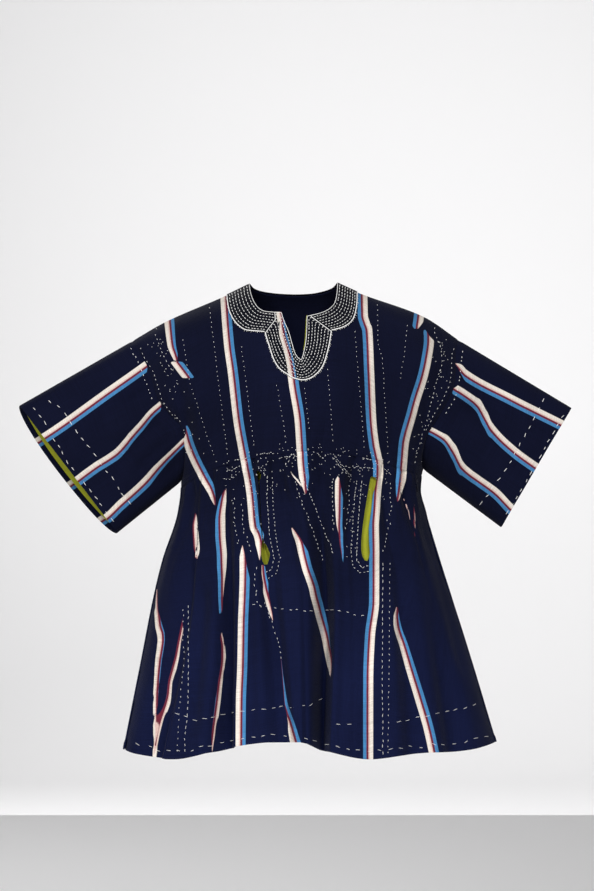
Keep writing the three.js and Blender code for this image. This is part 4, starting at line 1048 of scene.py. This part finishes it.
def over_body(x, z, side, lift):
    """Points on the body's surface under drawn points, moved out by lift along the direction square to it."""
    def at(dx, dz):
        xx, zz = x + dx, z + dz
        y = body_depth(xx, zz, side)
        if side == "front":
            y = y + out_of[side] * front_creases(xx, zz)
        return stand(xx, zz, y)
    square = np.cross(at(0.4, 0) - at(-0.4, 0), at(0, 0) - at(0, -0.8))
    square /= np.linalg.norm(square, axis=-1, keepdims=True)
    square *= np.where(square[..., 1:2] * out_of[side] < 0, -1, 1)
    return at(0, 0) + square * np.asarray(lift)[..., None], square


def facing_plan(name, s, t):
    """Drawn points of a facing piece: smooth curves through the inner and the outer edge, joined straight
    across. Beside the slit the ends bend to the seam's turn, and the bend dies away along the piece."""
    rows = facing_rows[name].copy()
    for k in (0, -1):
        if at_shoulder[name][k]:
            rows[k, 1], rows[k, 3] = shoulder_height(rows[k, 0]), shoulder_height(rows[k, 2])
    middle = (rows[:, :2] + rows[:, 2:]) / 2
    run = running(middle)
    run /= run[-1]
    inner = [smooth_line(run, rows[:, k])(s) for k in (0, 1)]
    outer = [smooth_line(run, rows[:, k])(s) for k in (2, 3)]
    s, t = s[None, :], t[:, None]
    x, z = (lerp(a[None, :], b[None, :], t) for a, b in zip(inner, outer))
    for k in (0, -1):
        if seam_ends[name][k] is None:
            continue
        own = np.array(seam_turn[seam_ends[name][k]])
        a, b = rows[k, :2], rows[k, 2:]
        at = np.linalg.norm(own - a)
        at = at / (at + np.linalg.norm(own - b))
        bend = own - lerp(a, b, at)
        shape = np.where(t < at, t / at, (1 - t) / (1 - at))
        near = np.clip(1 - np.abs(s - (0 if k == 0 else 1)) * 5, 0, 1) ** 2
        x, z = x + bend[0] * shape * near, z + bend[1] * shape * near
    return x, z


def facing_shares(name, count):
    """Shares along a facing piece, closer together where it reaches the shoulder line."""
    s = np.linspace(0, 1, count)
    first, last = at_shoulder[name]
    if first and last:
        return 0.5 - 0.5 * np.cos(np.pi * s)
    return s**1.8 if first else 1 - (1 - s) ** 1.8 if last else s


striped_facing = woven_cloth("striped_facing", facing_dark, thread=0.8, striped=True, stripe_light=0.8,
                             rough=0.85)
worn_stripe = (-6.6, 5.2)  # left and right limit
middle_stripe = front_stripes[4][1]  # it runs on over the facing as far as its sixth row
centre_stripe = [(False, [(*row[:2], *worn_stripe) for row in middle_stripe[:6]])]
for name in facing_rows:
    side = "back" if name == "back" else "front"
    s = facing_shares(name, {"left": 90, "centre": 200, "right": 90, "back": 140}[name])
    t = np.linspace(0, 1, 24)
    x, z = facing_plan(name, s, t)
    z = np.minimum(z, shoulder_height(x) - 0.02)
    edge = np.minimum(np.minimum(t, 1 - t) * 23, 1)[:, None]
    outer, square = over_body(x, z, side, facing_gap + facing_thick * (0.55 + 0.45 * edge) + 0 * x)
    inner = over_body(x, z, side, facing_gap + 0 * x)[0]
    centre = name == "centre"
    piece = cloth_piece(f"neck_facing_{name}_cloth", outer, inner,
                        striped_facing if centre else facing_cotton,
                        stripes=centre_stripe if centre else None)
    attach(piece, "root")
    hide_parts(f"neck_facing_{name}")

# Neck stitching: thick white cotton. Seven rows of running stitch follow the neckline, and a white cord lies
# on the outer edge and on the two seams, held down by small stitches that stand out below it like a comb.
white_thread = bpy.data.materials.new("white_thread")
white_thread.use_nodes = True
thread_nodes, thread_links = white_thread.node_tree.nodes, white_thread.node_tree.links
thread_shader = thread_nodes["Principled BSDF"]
thread_shader.inputs["Roughness"].default_value = 0.75
thread_shader.inputs["Sheen Weight"].default_value = 0.3
fibre = thread_nodes.new("ShaderNodeTexNoise")
fibre.inputs["Scale"].default_value = 900.0
fibre.inputs["Detail"].default_value = 2.0
place = thread_nodes.new("ShaderNodeTexCoord")
thread_links.new(place.outputs["Object"], fibre.inputs["Vector"])
tint = thread_nodes.new("ShaderNodeValToRGB")
tint.color_ramp.elements[0].position, tint.color_ramp.elements[0].color = 0.3, (0.70, 0.69, 0.67, 1)
tint.color_ramp.elements[1].position, tint.color_ramp.elements[1].color = 0.65, (0.97, 0.965, 0.95, 1)
thread_links.new(fibre.outputs["Fac"], tint.inputs[0])
thread_links.new(tint.outputs[0], thread_shader.inputs["Base Color"])
fibre_bump = thread_nodes.new("ShaderNodeBump")
fibre_bump.inputs["Strength"].default_value = 0.4
fibre_bump.inputs["Distance"].default_value = 0.0003
thread_links.new(fibre.outputs["Fac"], fibre_bump.inputs["Height"])
thread_links.new(fibre_bump.outputs["Normal"], thread_shader.inputs["Normal"])
draws = np.random.default_rng(5)


def thread_piece(name, points, faces, material=white_thread, slot="facing_cloth"):
    """A piece of thread or cord from points in mm and faces, riding on the smock's one body."""
    mesh = bpy.data.meshes.new(name)
    mesh.from_pydata((points / 1000).tolist(), [], faces)
    mesh.polygons.foreach_set("use_smooth", np.ones(len(mesh.polygons), bool))
    mesh.materials.append(material)
    piece = bpy.data.objects.new(name, mesh)
    bpy.context.scene.collection.objects.link(piece)
    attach(piece, "root")
    return piece


def stitches(name, start, end, square, radius=0.75, rise=0.7):
    """Short threads that come up through the cloth and go down again. Each is a ring of five points carried
    from start to end on an arc, sunk at both ends and highest at the middle, and rounded off like a grain of
    rice."""
    way = end - start
    length = np.linalg.norm(way, axis=-1, keepdims=True)
    keep = length[:, 0] > 0.3
    start, way, length, square = start[keep], way[keep], length[keep], square[keep]
    along = way / length
    side = np.cross(along, square)
    side /= np.linalg.norm(side, axis=-1, keepdims=True)
    up = np.cross(side, along)
    shares = np.array([0.0, 0.16, 0.5, 0.84, 1.0])
    thick = radius * np.array([0.35, 0.85, 1.0, 0.85, 0.35])
    height = rise * np.array([-0.5, 0.35, 1.0, 0.35, -0.5])
    turn = np.arange(5) * 2 * np.pi / 5
    ring = np.cos(turn)[None, :, None] * side[:, None] + np.sin(turn)[None, :, None] * up[:, None]
    centre = start[:, None] + way[:, None] * shares[None, :, None] + up[:, None] * height[None, :, None]
    points = centre[:, :, None] + ring[:, None] * thick[None, :, None, None]
    k, a = np.meshgrid(np.arange(5), 5 * np.arange(4))
    quads = np.stack([a + k, a + 5 + k, a + 5 + (k + 1) % 5, a + (k + 1) % 5], -1).reshape(-1, 4)
    base = 25 * np.arange(len(start))[:, None]
    faces = (base[:, None] + quads).reshape(-1, 4).tolist()
    faces += (base + np.arange(5)).tolist() + (base + np.arange(24, 19, -1)).tolist()
    return thread_piece(name, points.reshape(-1, 3), faces)


def cord_along(name, path, square, radius, **finish):
    """A laid cord: a ring of eight points carried along a path, standing on the cloth, with a slow ripple in
    its thickness where the holding stitches press it, and its ends closed."""
    along = np.gradient(path, axis=0)
    along /= np.linalg.norm(along, axis=-1, keepdims=True)
    side = np.cross(along, square)
    side /= np.linalg.norm(side, axis=-1, keepdims=True)
    up = np.cross(side, along)
    turn = np.arange(8) * np.pi / 4
    run = running(path)
    thick = radius * (1 - 0.16 * np.cos(run * 2 * np.pi / 3.6) ** 2)
    points = (path[:, None] + thick[:, None, None] * (np.cos(turn)[None, :, None] * side[:, None]
                                                      + np.sin(turn)[None, :, None] * up[:, None]))
    k, a = np.meshgrid(np.arange(8), np.arange(len(path) - 1))
    a, following = 8 * a, (k + 1) % 8
    faces = np.stack([a + k, a + 8 + k, a + 8 + following, a + following], -1).reshape(-1, 4)
    ends = [list(range(8)), list(range(8 * len(path) - 1, 8 * len(path) - 9, -1))]
    return thread_piece(name, points.reshape(-1, 3), faces.tolist() + ends, **finish)


def dashes(run, pitch, length):
    """Starts and ends of stitches along a run, evenly pitched with a little unevenness."""
    count = max(1, int(run / pitch))
    middle = (np.arange(count) + 0.5 + draws.uniform(-0.1, 0.1, count)) * run / count
    half = length * draws.uniform(0.8, 1.2, count) / 2
    return middle - half, middle + half


def facing_line(name, t, first=0.0, last=1.0):
    """Drawn points along a facing piece at one share between its edges, with their running distance."""
    s = facing_shares(name, 300)
    s = s[(s >= first) & (s <= last)]
    x, z = facing_plan(name, s, np.array([float(t)]))
    x, z = x[0], np.minimum(z[0], shoulder_height(x[0]) - 0.3)
    return x, z, np.concatenate([[0], np.cumsum(np.hypot(np.diff(x), np.diff(z)))])


def on_facing(x, z, side, above=0.0):
    """The facing's outer surface at drawn points, raised by above."""
    return over_body(x, z, side, facing_gap + facing_thick + above + 0 * x)


neck_rows = (0.13, 0.26, 0.385, 0.51, 0.635, 0.76, 0.88)
starts, ends, squares = [], [], []
for name in facing_rows:
    side = "back" if name == "back" else "front"
    for t in neck_rows:
        x, z, run = facing_line(name, t)
        a, b = dashes(run[-1] - 2, 4.7, 3.1)
        a, b = a + 1, b + 1
        drift = draws.normal(0, 0.2, (2, len(a)))
        first, square = on_facing(np.interp(a, run, x) + drift[0], np.interp(a, run, z), side, 0.1)
        last, _ = on_facing(np.interp(b, run, x) + drift[1], np.interp(b, run, z), side, 0.1)
        starts.append(first), ends.append(last), squares.append(square)
stitches("neck_running_stitch", *map(np.concatenate, (starts, ends, squares)), 0.52, 0.6)

comb_pitch = 3.4
comb_reach = {"left": (0.2, 0.75), "centre": (0.4, 1.1), "right": (0.5, 1.25), "back": (0.3, 0.9)}
starts, ends, squares = [], [], []
for name in facing_rows:
    side = "back" if name == "back" else "front"
    for place, t, radius in (("edge", 0.985, 0.85), ("neckline", 0.03, 0.5)):
        x, z, run = facing_line(name, t)
        even = np.linspace(0, run[-1], int(run[-1] / 1.2))
        path, square = on_facing(np.interp(even, run, x), np.interp(even, run, z), side, 0.7 * radius)
        cord_along(f"neck_{place}_cord_{name}", path, square, radius)
    x, z, run = facing_line(name, 0.985)
    outer_x, outer_z, outer_run = facing_line(name, 1.1)
    a = np.arange(2.0, run[-1] - 1, comb_pitch)
    a = a + draws.uniform(-0.6, 0.6, len(a))
    reach = draws.uniform(*comb_reach[name], len(a))
    ax, az = np.interp(a, run, x), np.interp(a, run, z)
    bx, bz = (np.interp((a + 1.0) / run[-1], outer_run / outer_run[-1], v) for v in (outer_x, outer_z))
    steep = np.hypot(bx - ax, bz - az)
    bx, bz = ax + (bx - ax) / steep * comb_pitch * reach, az + (bz - az) / steep * comb_pitch * reach
    bz = np.minimum(bz, shoulder_height(bx) - 0.3)
    first, square = on_facing(ax, az, side, 0.3)
    last = over_body(bx, bz, side, 0.2 + 0 * bx)[0]
    starts.append(first), ends.append(last), squares.append(square)
stitches("neck_comb_stitch", *map(np.concatenate, (starts, ends, squares)), 0.4, 0.5)
for hand, s in (("left", 0.004), ("right", 0.996)):
    t = np.linspace(0.02, 0.99, 40)
    x, z = facing_plan("centre", np.array([s]), t)
    path, square = on_facing(x[:, 0], z[:, 0], "front", 0.5)
    cord_along(f"neck_seam_cord_{hand}", path, square, 0.62)
x, z, run = facing_line("centre", -0.012, 0.62, 0.97)
even = np.linspace(0, run[-1], int(run[-1] / 1.2))
path, square = on_facing(np.interp(even, run, x), np.interp(even, run, z), "front", -0.3)
cord_along("neck_slit_piping", path, square, 0.55, material=lime_cotton, slot="lime_cloth")

# Strip stitching on the body: white running stitch in dots beside the strip seams, round the armholes and
# along the gathering, sewn through both layers of the seams by hand.
line_of_sight = np.array([sight_x, -sight_away, sight_z])


def on_cloth(cloth, square, x, z):
    """The outer layer at drawn points: the nearest grid point as drawn, then along the line of sight to the
    plane that touches the cloth there."""
    grid_x, grid_z = (v.reshape(-1).astype(np.float32) for v in drawn(cloth))
    near = np.concatenate([
        np.argmin((grid_x[None] - x[k, None]) ** 2 + (grid_z[None] - z[k, None]) ** 2, axis=1)
        for k in np.array_split(np.arange(len(x)), len(x) // 150 + 1)])
    touch, out = cloth.reshape(-1, 3)[near], square.reshape(-1, 3)[near]
    way = stand(x, z, 0 * x) - line_of_sight
    steps = np.sum((touch - line_of_sight) * out, -1) / np.sum(way * out, -1)
    place = line_of_sight + way * steps[:, None]
    far = np.linalg.norm(place - touch, axis=-1, keepdims=True) > 4
    return np.where(far, touch, place), out


def sewn_rows(name, cloth, square, rows, on=None, radius=0.36, rise=0.45):
    """Rows of stitches on a cloth. Each row has its pitch, its stitch length, how far it wanders, and the
    drawn points of its line, joined by straight runs. On tells which drawn points lie on this cloth."""
    first, last = [], []
    for pitch, length, wander, line in rows:
        line = np.array(line, float)
        run = running(line)
        a, b = dashes(run[-1], pitch, length)
        middle, half = (a + b) / 2, (b - a) / 2
        centre = np.stack([np.interp(middle, run, line[:, k]) for k in (0, 1)], -1)
        way = np.stack([np.interp(middle + 0.5, run, line[:, k]) for k in (0, 1)], -1) - centre
        turn = np.arctan2(way[:, 1], way[:, 0]) + draws.normal(0, 0.06 + 0.14 * wander, len(a))
        reach = half[:, None] * np.stack([np.cos(turn), np.sin(turn)], -1)
        centre = centre + draws.normal(0, wander, centre.shape)
        first.append(centre - reach), last.append(centre + reach)
    first, last = np.concatenate(first), np.concatenate(last)
    if on is not None:
        here = on(*first.T) & on(*last.T)
        first, last = first[here], last[here]
    start, out = on_cloth(cloth, square, *first.T)
    end, _ = on_cloth(cloth, square, *last.T)
    return stitches(name, start + out * 0.1, end + out * 0.1, out, radius, rise)


dot = (7.8, 1.7, 0.3)  # pitch, stitch length and wander of the dotted rows
body_rows_sewn = [
    (*dot, [(-139, -34), (-120, -189), (-109, -275)]),
    (*dot, [(-88, -96), (-80, -157), (-67, -262)]),
    (*dot, [(-32, -158), (-27, -181), (-19, -230), (-16, -256)]),
    (*dot, [(14, -163), (21, -234)]),
    (*dot, [(50, -133), (54, -179), (59, -253)]),
    (*dot, [(94, -72), (101, -163), (107, -230), (109, -264)]),
    (*dot, [(130, -30), (131, -94), (138, -117), (142, -186), (147, -264)]),
    (*dot, [(178, -62), (173, -114), (166, -154)]),
    (*dot, [(-181, -86), (-170, -157), (-158, -194), (-144, -238), (-130, -277)]),
    (7.5, 2.6, 0.3, [(-226, -77), (-216, -104), (-206, -126), (-197, -139)]),
    (7.5, 2.6, 0.3, [(-250, -100), (-240, -122), (-227, -142), (-221, -163), (-214, -186), (-200, -206),
                     (-182, -222)]),
    (7.5, 2.6, 0.3, [(253, -100), (249, -117), (249, -138), (245, -162), (234, -186), (219, -212),
                     (206, -236)]),
    (7.5, 2.6, 0.3, [(222, -67), (221, -77), (232, -104), (234, -126), (227, -146), (219, -178), (210, -216),
                     (198, -254), (189, -288)]),
    (3.4, 1.5, 10, [(-226, -80), (-208, -126), (-190, -170)]),
    (3.4, 1.5, 8, [(232, -78), (238, -130), (215, -190)]),
    (7.0, 1.5, 8, [(-206, -160), (-176, -230), (-160, -280)]),
    (7.0, 1.5, 8, [(205, -200), (190, -280)])]
gather_tacks = [
    (3.6, 2.2, 0.9, [(-63, -273), (-48, -270), (-36, -271)]),
    (3.6, 2.2, 1.2, [(-19, -291), (-10, -276), (2, -264)]),
    (3.4, 2.2, 1.2, [(17, -261), (34, -270), (48, -283)]),
    (3.0, 1.8, 0.5, [(59, -271), (72, -288), (88, -308)]),
    (4.2, 3.0, 0.8, [(84, -274), (104, -276), (126, -282)]),
    (4.2, 3.0, 0.9, [(79, -291), (100, -293), (124, -294)]),
    (3.8, 2.6, 0.9, [(-113, -301), (-100, -296), (-89, -290)]),
    (3.8, 2.4, 0.9, [(-117, -311), (-101, -310)]),
    (3.8, 2.4, 0.9, [(-28, -280), (-14, -276), (-1, -273)]),
    (4.0, 2.4, 0.9, [(-100, -283), (-86, -279), (-74, -280)]),
    (4.0, 2.4, 1.2, [(128, -286), (140, -296), (152, -304)]),
    (3.4, 2.0, 1.2, [(-62, -292), (-52, -300), (-46, -312)]),
    (2.8, 1.4, 7.0, [(-120, -292), (-74, -280), (0, -270), (35, -267), (75, -273), (120, -280), (154, -294)]),
    (4.0, 1.5, 8.0, [(-112, -312), (-74, -302), (0, -293), (35, -290), (75, -296), (120, -303), (150, -312)]),
    (7.0, 1.5, 9.0, [(-100, -338), (0, -318), (75, -320), (150, -336)])]
sewn_rows("body_stitching", front_outer, front_square, body_rows_sewn + gather_tacks,
          on=lambda x, z: (z > gather_height["front"](x) + 1) & (x > -262) & (x < 258))

# Skirt stitching: double rows down both outer gores, rows round the pockets, a tacked line below them, the
# tucks at the gathers, and two rows of longer stitches that hold the hem.
skirt_rows_sewn = [
    (9.5, 4.8, 0.3, [(-172, -510), (-172, -600), (-173, -680), (-178, -725), (-177, -752)]),
    (9.5, 2.6, 0.4, [(-180, -516), (-181, -570), (-178, -600), (-184, -650), (-188, -700), (-190, -752)]),
    (9.5, 4.8, 0.3, [(139, -442), (138, -600), (139, -754)]),
    (9.5, 2.6, 0.3, [(150, -442), (149, -600), (147, -754)]),
    (15, 7.0, 0.9, [(-198, -683), (-160, -699), (-136, -693), (-85, -683), (-46, -677), (16, -675),
                    (45, -661)]),
    (15, 7.0, 0.9, [(59, -704), (93, -704)]),
    (15, 7.0, 0.9, [(158, -701), (198, -692), (242, -685), (291, -670)]),
    (17, 6.5, 1.2, [(-262, -732), (-224, -746), (-192, -748), (-133, -737), (-99, -728), (-37, -721),
                    (6, -721), (51, -736), (117, -748), (170, -742), (218, -737), (256, -736), (312, -721)]),
    (11, 4.6, 1.2, [(-74, -512), (-30, -518), (20, -524), (60, -520), (110, -531)]),
    (5.4, 3.0, 0.5, [(59, -276), (70, -292), (86, -309)]),
    (6.4, 4.2, 0.35, [(106, -314), (102, -350), (99, -392), (97, -424), (98, -444), (105, -454),
                      (117, -450)]),
    (6.4, 3.0, 0.35, [(97, -316), (93, -352), (90, -396), (88, -430), (91, -452), (101, -462), (119, -459)]),
    (6.4, 3.6, 0.35, [(-46, -306), (-46, -352), (-42, -404), (-35, -440), (-39, -456), (-50, -462)]),
    (6.4, 2.8, 0.35, [(-38, -306), (-37, -352), (-32, -404), (-26, -438), (-31, -462), (-46, -472)]),
    (6.6, 3.4, 0.6, [(8, -300), (28, -352), (54, -414), (60, -432)]),
    (6.6, 3.0, 0.6, [(-4, -306), (10, -352), (28, -398), (44, -444)]),
    (7.0, 2.8, 0.9, [(60, -308), (58, -350), (60, -394)]),
    (7.0, 2.8, 0.9, [(85, -312), (86, -352), (78, -394)]),
    (7.0, 2.8, 0.9, [(-100, -340), (-98, -384), (-92, -420)]),
    (7.0, 2.8, 0.9, [(-88, -350), (-84, -392), (-72, -430)]),
    (8.0, 3.4, 1.4, [(-64, -452), (-66, -484), (-58, -520)]),
    (8.0, 3.4, 1.4, [(-50, -508), (-32, -560), (-22, -600)]),
    (7.0, 2.6, 1.2, [(150, -316), (152, -350), (148, -390), (140, -430)]),
    (5.0, 1.6, 5.0, [(-72, -310), (-66, -360), (-56, -420)]),
    (6.0, 1.6, 5.0, [(92, -310), (88, -380), (84, -440)])]
sewn_rows("skirt_stitching", skirt_outer, skirt_square, skirt_rows_sewn + gather_tacks,
          on=lambda x, z: z < gather_height["front"](x) - 1)

# Back stitching: the same dotted rows beside the strip seams, tacks along the gathers and two rows at the
# hem.
back_rows_sewn = [
    (*dot, [(-139, -40), (-122, -288)]),
    (*dot, [(-84, -46), (-76, -286)]),
    (*dot, [(-28, -50), (-26, -280)]),
    (*dot, [(30, -50), (30, -280)]),
    (*dot, [(88, -40), (84, -282)]),
    (*dot, [(142, -40), (138, -288)]),
    (7.5, 2.6, 0.3, [(-250, -104), (-232, -142), (-216, -186), (-190, -222)]),
    (7.5, 2.6, 0.3, [(250, -104), (246, -150), (226, -200), (200, -240)]),
    (3.4, 1.5, 9.0, [(-226, -84), (-206, -130), (-186, -180)]),
    (3.4, 1.5, 9.0, [(230, -84), (226, -140), (206, -190)])]
back_gather_tacks = [
    (3.8, 2.4, 1.2, [(-150, -304), (-120, -297)]),
    (3.8, 2.4, 1.2, [(-104, -300), (-60, -288), (-44, -294)]),
    (3.8, 2.4, 1.2, [(-30, -286), (5, -284), (40, -289)]),
    (3.8, 2.4, 1.2, [(52, -293), (90, -286), (112, -296)]),
    (3.8, 2.4, 1.2, [(124, -291), (160, -300)]),
    (2.8, 1.4, 7.0, [(-160, -306), (-60, -292), (5, -287), (90, -290), (170, -300)]),
    (4.6, 1.5, 9.0, [(-150, -324), (-60, -308), (5, -304), (90, -308), (160, -318)])]
sewn_rows("back_body_stitching", back_outer, back_square, back_rows_sewn + back_gather_tacks,
          on=lambda x, z: (z > gather_height["back"](x) + 1) & (np.abs(x) < 256))
back_skirt_rows = [
    (9.5, 4.8, 0.3, [(-166, -400), (-176, -500), (-206, -726)]),
    (9.5, 2.6, 0.4, [(-158, -400), (-168, -500), (-197, -724)]),
    (9.5, 4.8, 0.3, [(176, -400), (192, -500), (236, -712)]),
    (9.5, 2.6, 0.4, [(168, -400), (183, -500), (226, -712)]),
    (15, 7.0, 0.9, [(-248, -676), (-150, -664), (20, -655), (180, -657), (294, -668)]),
    (17, 6.5, 1.2, [(-266, -727), (-160, -710), (20, -703), (210, -705), (312, -720)])]
sewn_rows("back_skirt_stitching", back_skirt_outer, back_skirt_square, back_skirt_rows + back_gather_tacks,
          on=lambda x, z: z < gather_height["back"](x) - 1)

# Cuff stitching: two rows of running stitch round each cuff, which hold the facing, and the armhole's own
# row.
cuff_rows = {
    "left": [
        (14, 6.5, 0.5, [(-424, -194), (-403, -219), (-376, -266), (-357, -296), (-323, -338), (-304, -363),
                        (-290, -382)]),
        (15, 6.5, 0.6, [(-398, -182), (-373, -203), (-346, -242), (-318, -278), (-294, -312), (-262, -356)]),
        (7.5, 2.6, 0.4, [(-266, -100), (-256, -118), (-246, -140), (-238, -164), (-229, -186)])],
    "right": [
        (14, 6.5, 0.5, [(430, -206), (398, -262), (368, -317), (334, -372)]),
        (15, 6.5, 0.6, [(400, -179), (370, -234), (338, -293), (302, -342), (292, -356)]),
        (7.5, 2.6, 0.4, [(267, -104), (264, -128), (262, -154), (254, -184), (238, -208)])]}
for hand in ("left", "right"):
    grid, square = sleeve_outers[hand]
    front_half = slice(0, grid.shape[1] // 2 + 1)
    sewn_rows(f"{hand}_cuff_stitching", grid[:, front_half], square[:, front_half], cuff_rows[hand],
              radius=0.5)

# The stage: a pale sweep of paper from floor to backdrop, two soft lamps high in front, one high behind, and
# a broad one that lights the paper.
paper = bpy.data.materials.new("stage_paper")
paper.use_nodes = True
shader = paper.node_tree.nodes["Principled BSDF"]
shader.inputs["Base Color"].default_value = (0.93, 0.925, 0.93, 1)
shader.inputs["Roughness"].default_value = 0.9
shader.inputs["Specular IOR Level"].default_value = 0.1
bend = np.linspace(0, np.pi / 2, 24)
floor_z, wall_y, bend_r, front_y, top_z, half_wide = -1.5, 6.5, 1.3, -6.0, 4.5, 6.0  # metres
profile_y = np.concatenate([[front_y], wall_y - bend_r + bend_r * np.sin(bend), [wall_y]])
profile_z = np.concatenate([[floor_z], floor_z + bend_r - bend_r * np.cos(bend), [top_z]])
side_x = np.array([-half_wide, half_wide])[:, None]
sweep = np.stack(np.broadcast_arrays(side_x, profile_y, profile_z), -1)
count = len(profile_y)
k = np.arange(count - 1)
mesh = bpy.data.meshes.new("stage_sweep")
quads = np.stack([k, k + count, k + count + 1, k + 1], -1)
mesh.from_pydata(sweep.reshape(-1, 3).tolist(), [], quads.tolist())
mesh.polygons.foreach_set("use_smooth", np.ones(count - 1, bool))
mesh.materials.append(paper)
stage = bpy.data.objects.new("stage_sweep", mesh)
bpy.context.scene.collection.objects.link(stage)
world = bpy.data.worlds.new("studio")
bpy.context.scene.world = world
world.use_nodes = True
world.node_tree.nodes["Background"].inputs[0].default_value = (1, 1, 1, 1)
world.node_tree.nodes["Background"].inputs[1].default_value = 0.16
bpy.context.scene.view_settings.view_transform = "Standard"
for name, place, aim, power, size in (  # metres, watts
        ("key_lamp", (0.9, -3.4, 2.1), (0, 0, -0.35), 96, 1.1),
        ("fill_lamp", (-1.7, -3.2, 1.5), (0, 0, -0.35), 88, 1.3),
        ("back_lamp", (-1.6, 3.3, 2.1), (0, 0, -0.35), 60, 1.2),
        ("paper_lamp", (0.6, 4.4, 0.5), (0.6, 6.5, 0.5), 70, 5.0)):
    lamp = bpy.data.lights.new(name, "AREA")
    lamp.energy, lamp.size = power, size
    lamp_object = bpy.data.objects.new(name, lamp)
    way = np.array(aim) - np.array(place)
    lamp_object.location = place
    tilt, turn = math.acos(-way[2] / np.linalg.norm(way)), math.atan2(way[1], way[0]) - math.pi / 2
    lamp_object.rotation_euler = (tilt, 0, turn)
    bpy.context.scene.collection.objects.link(lamp_object)
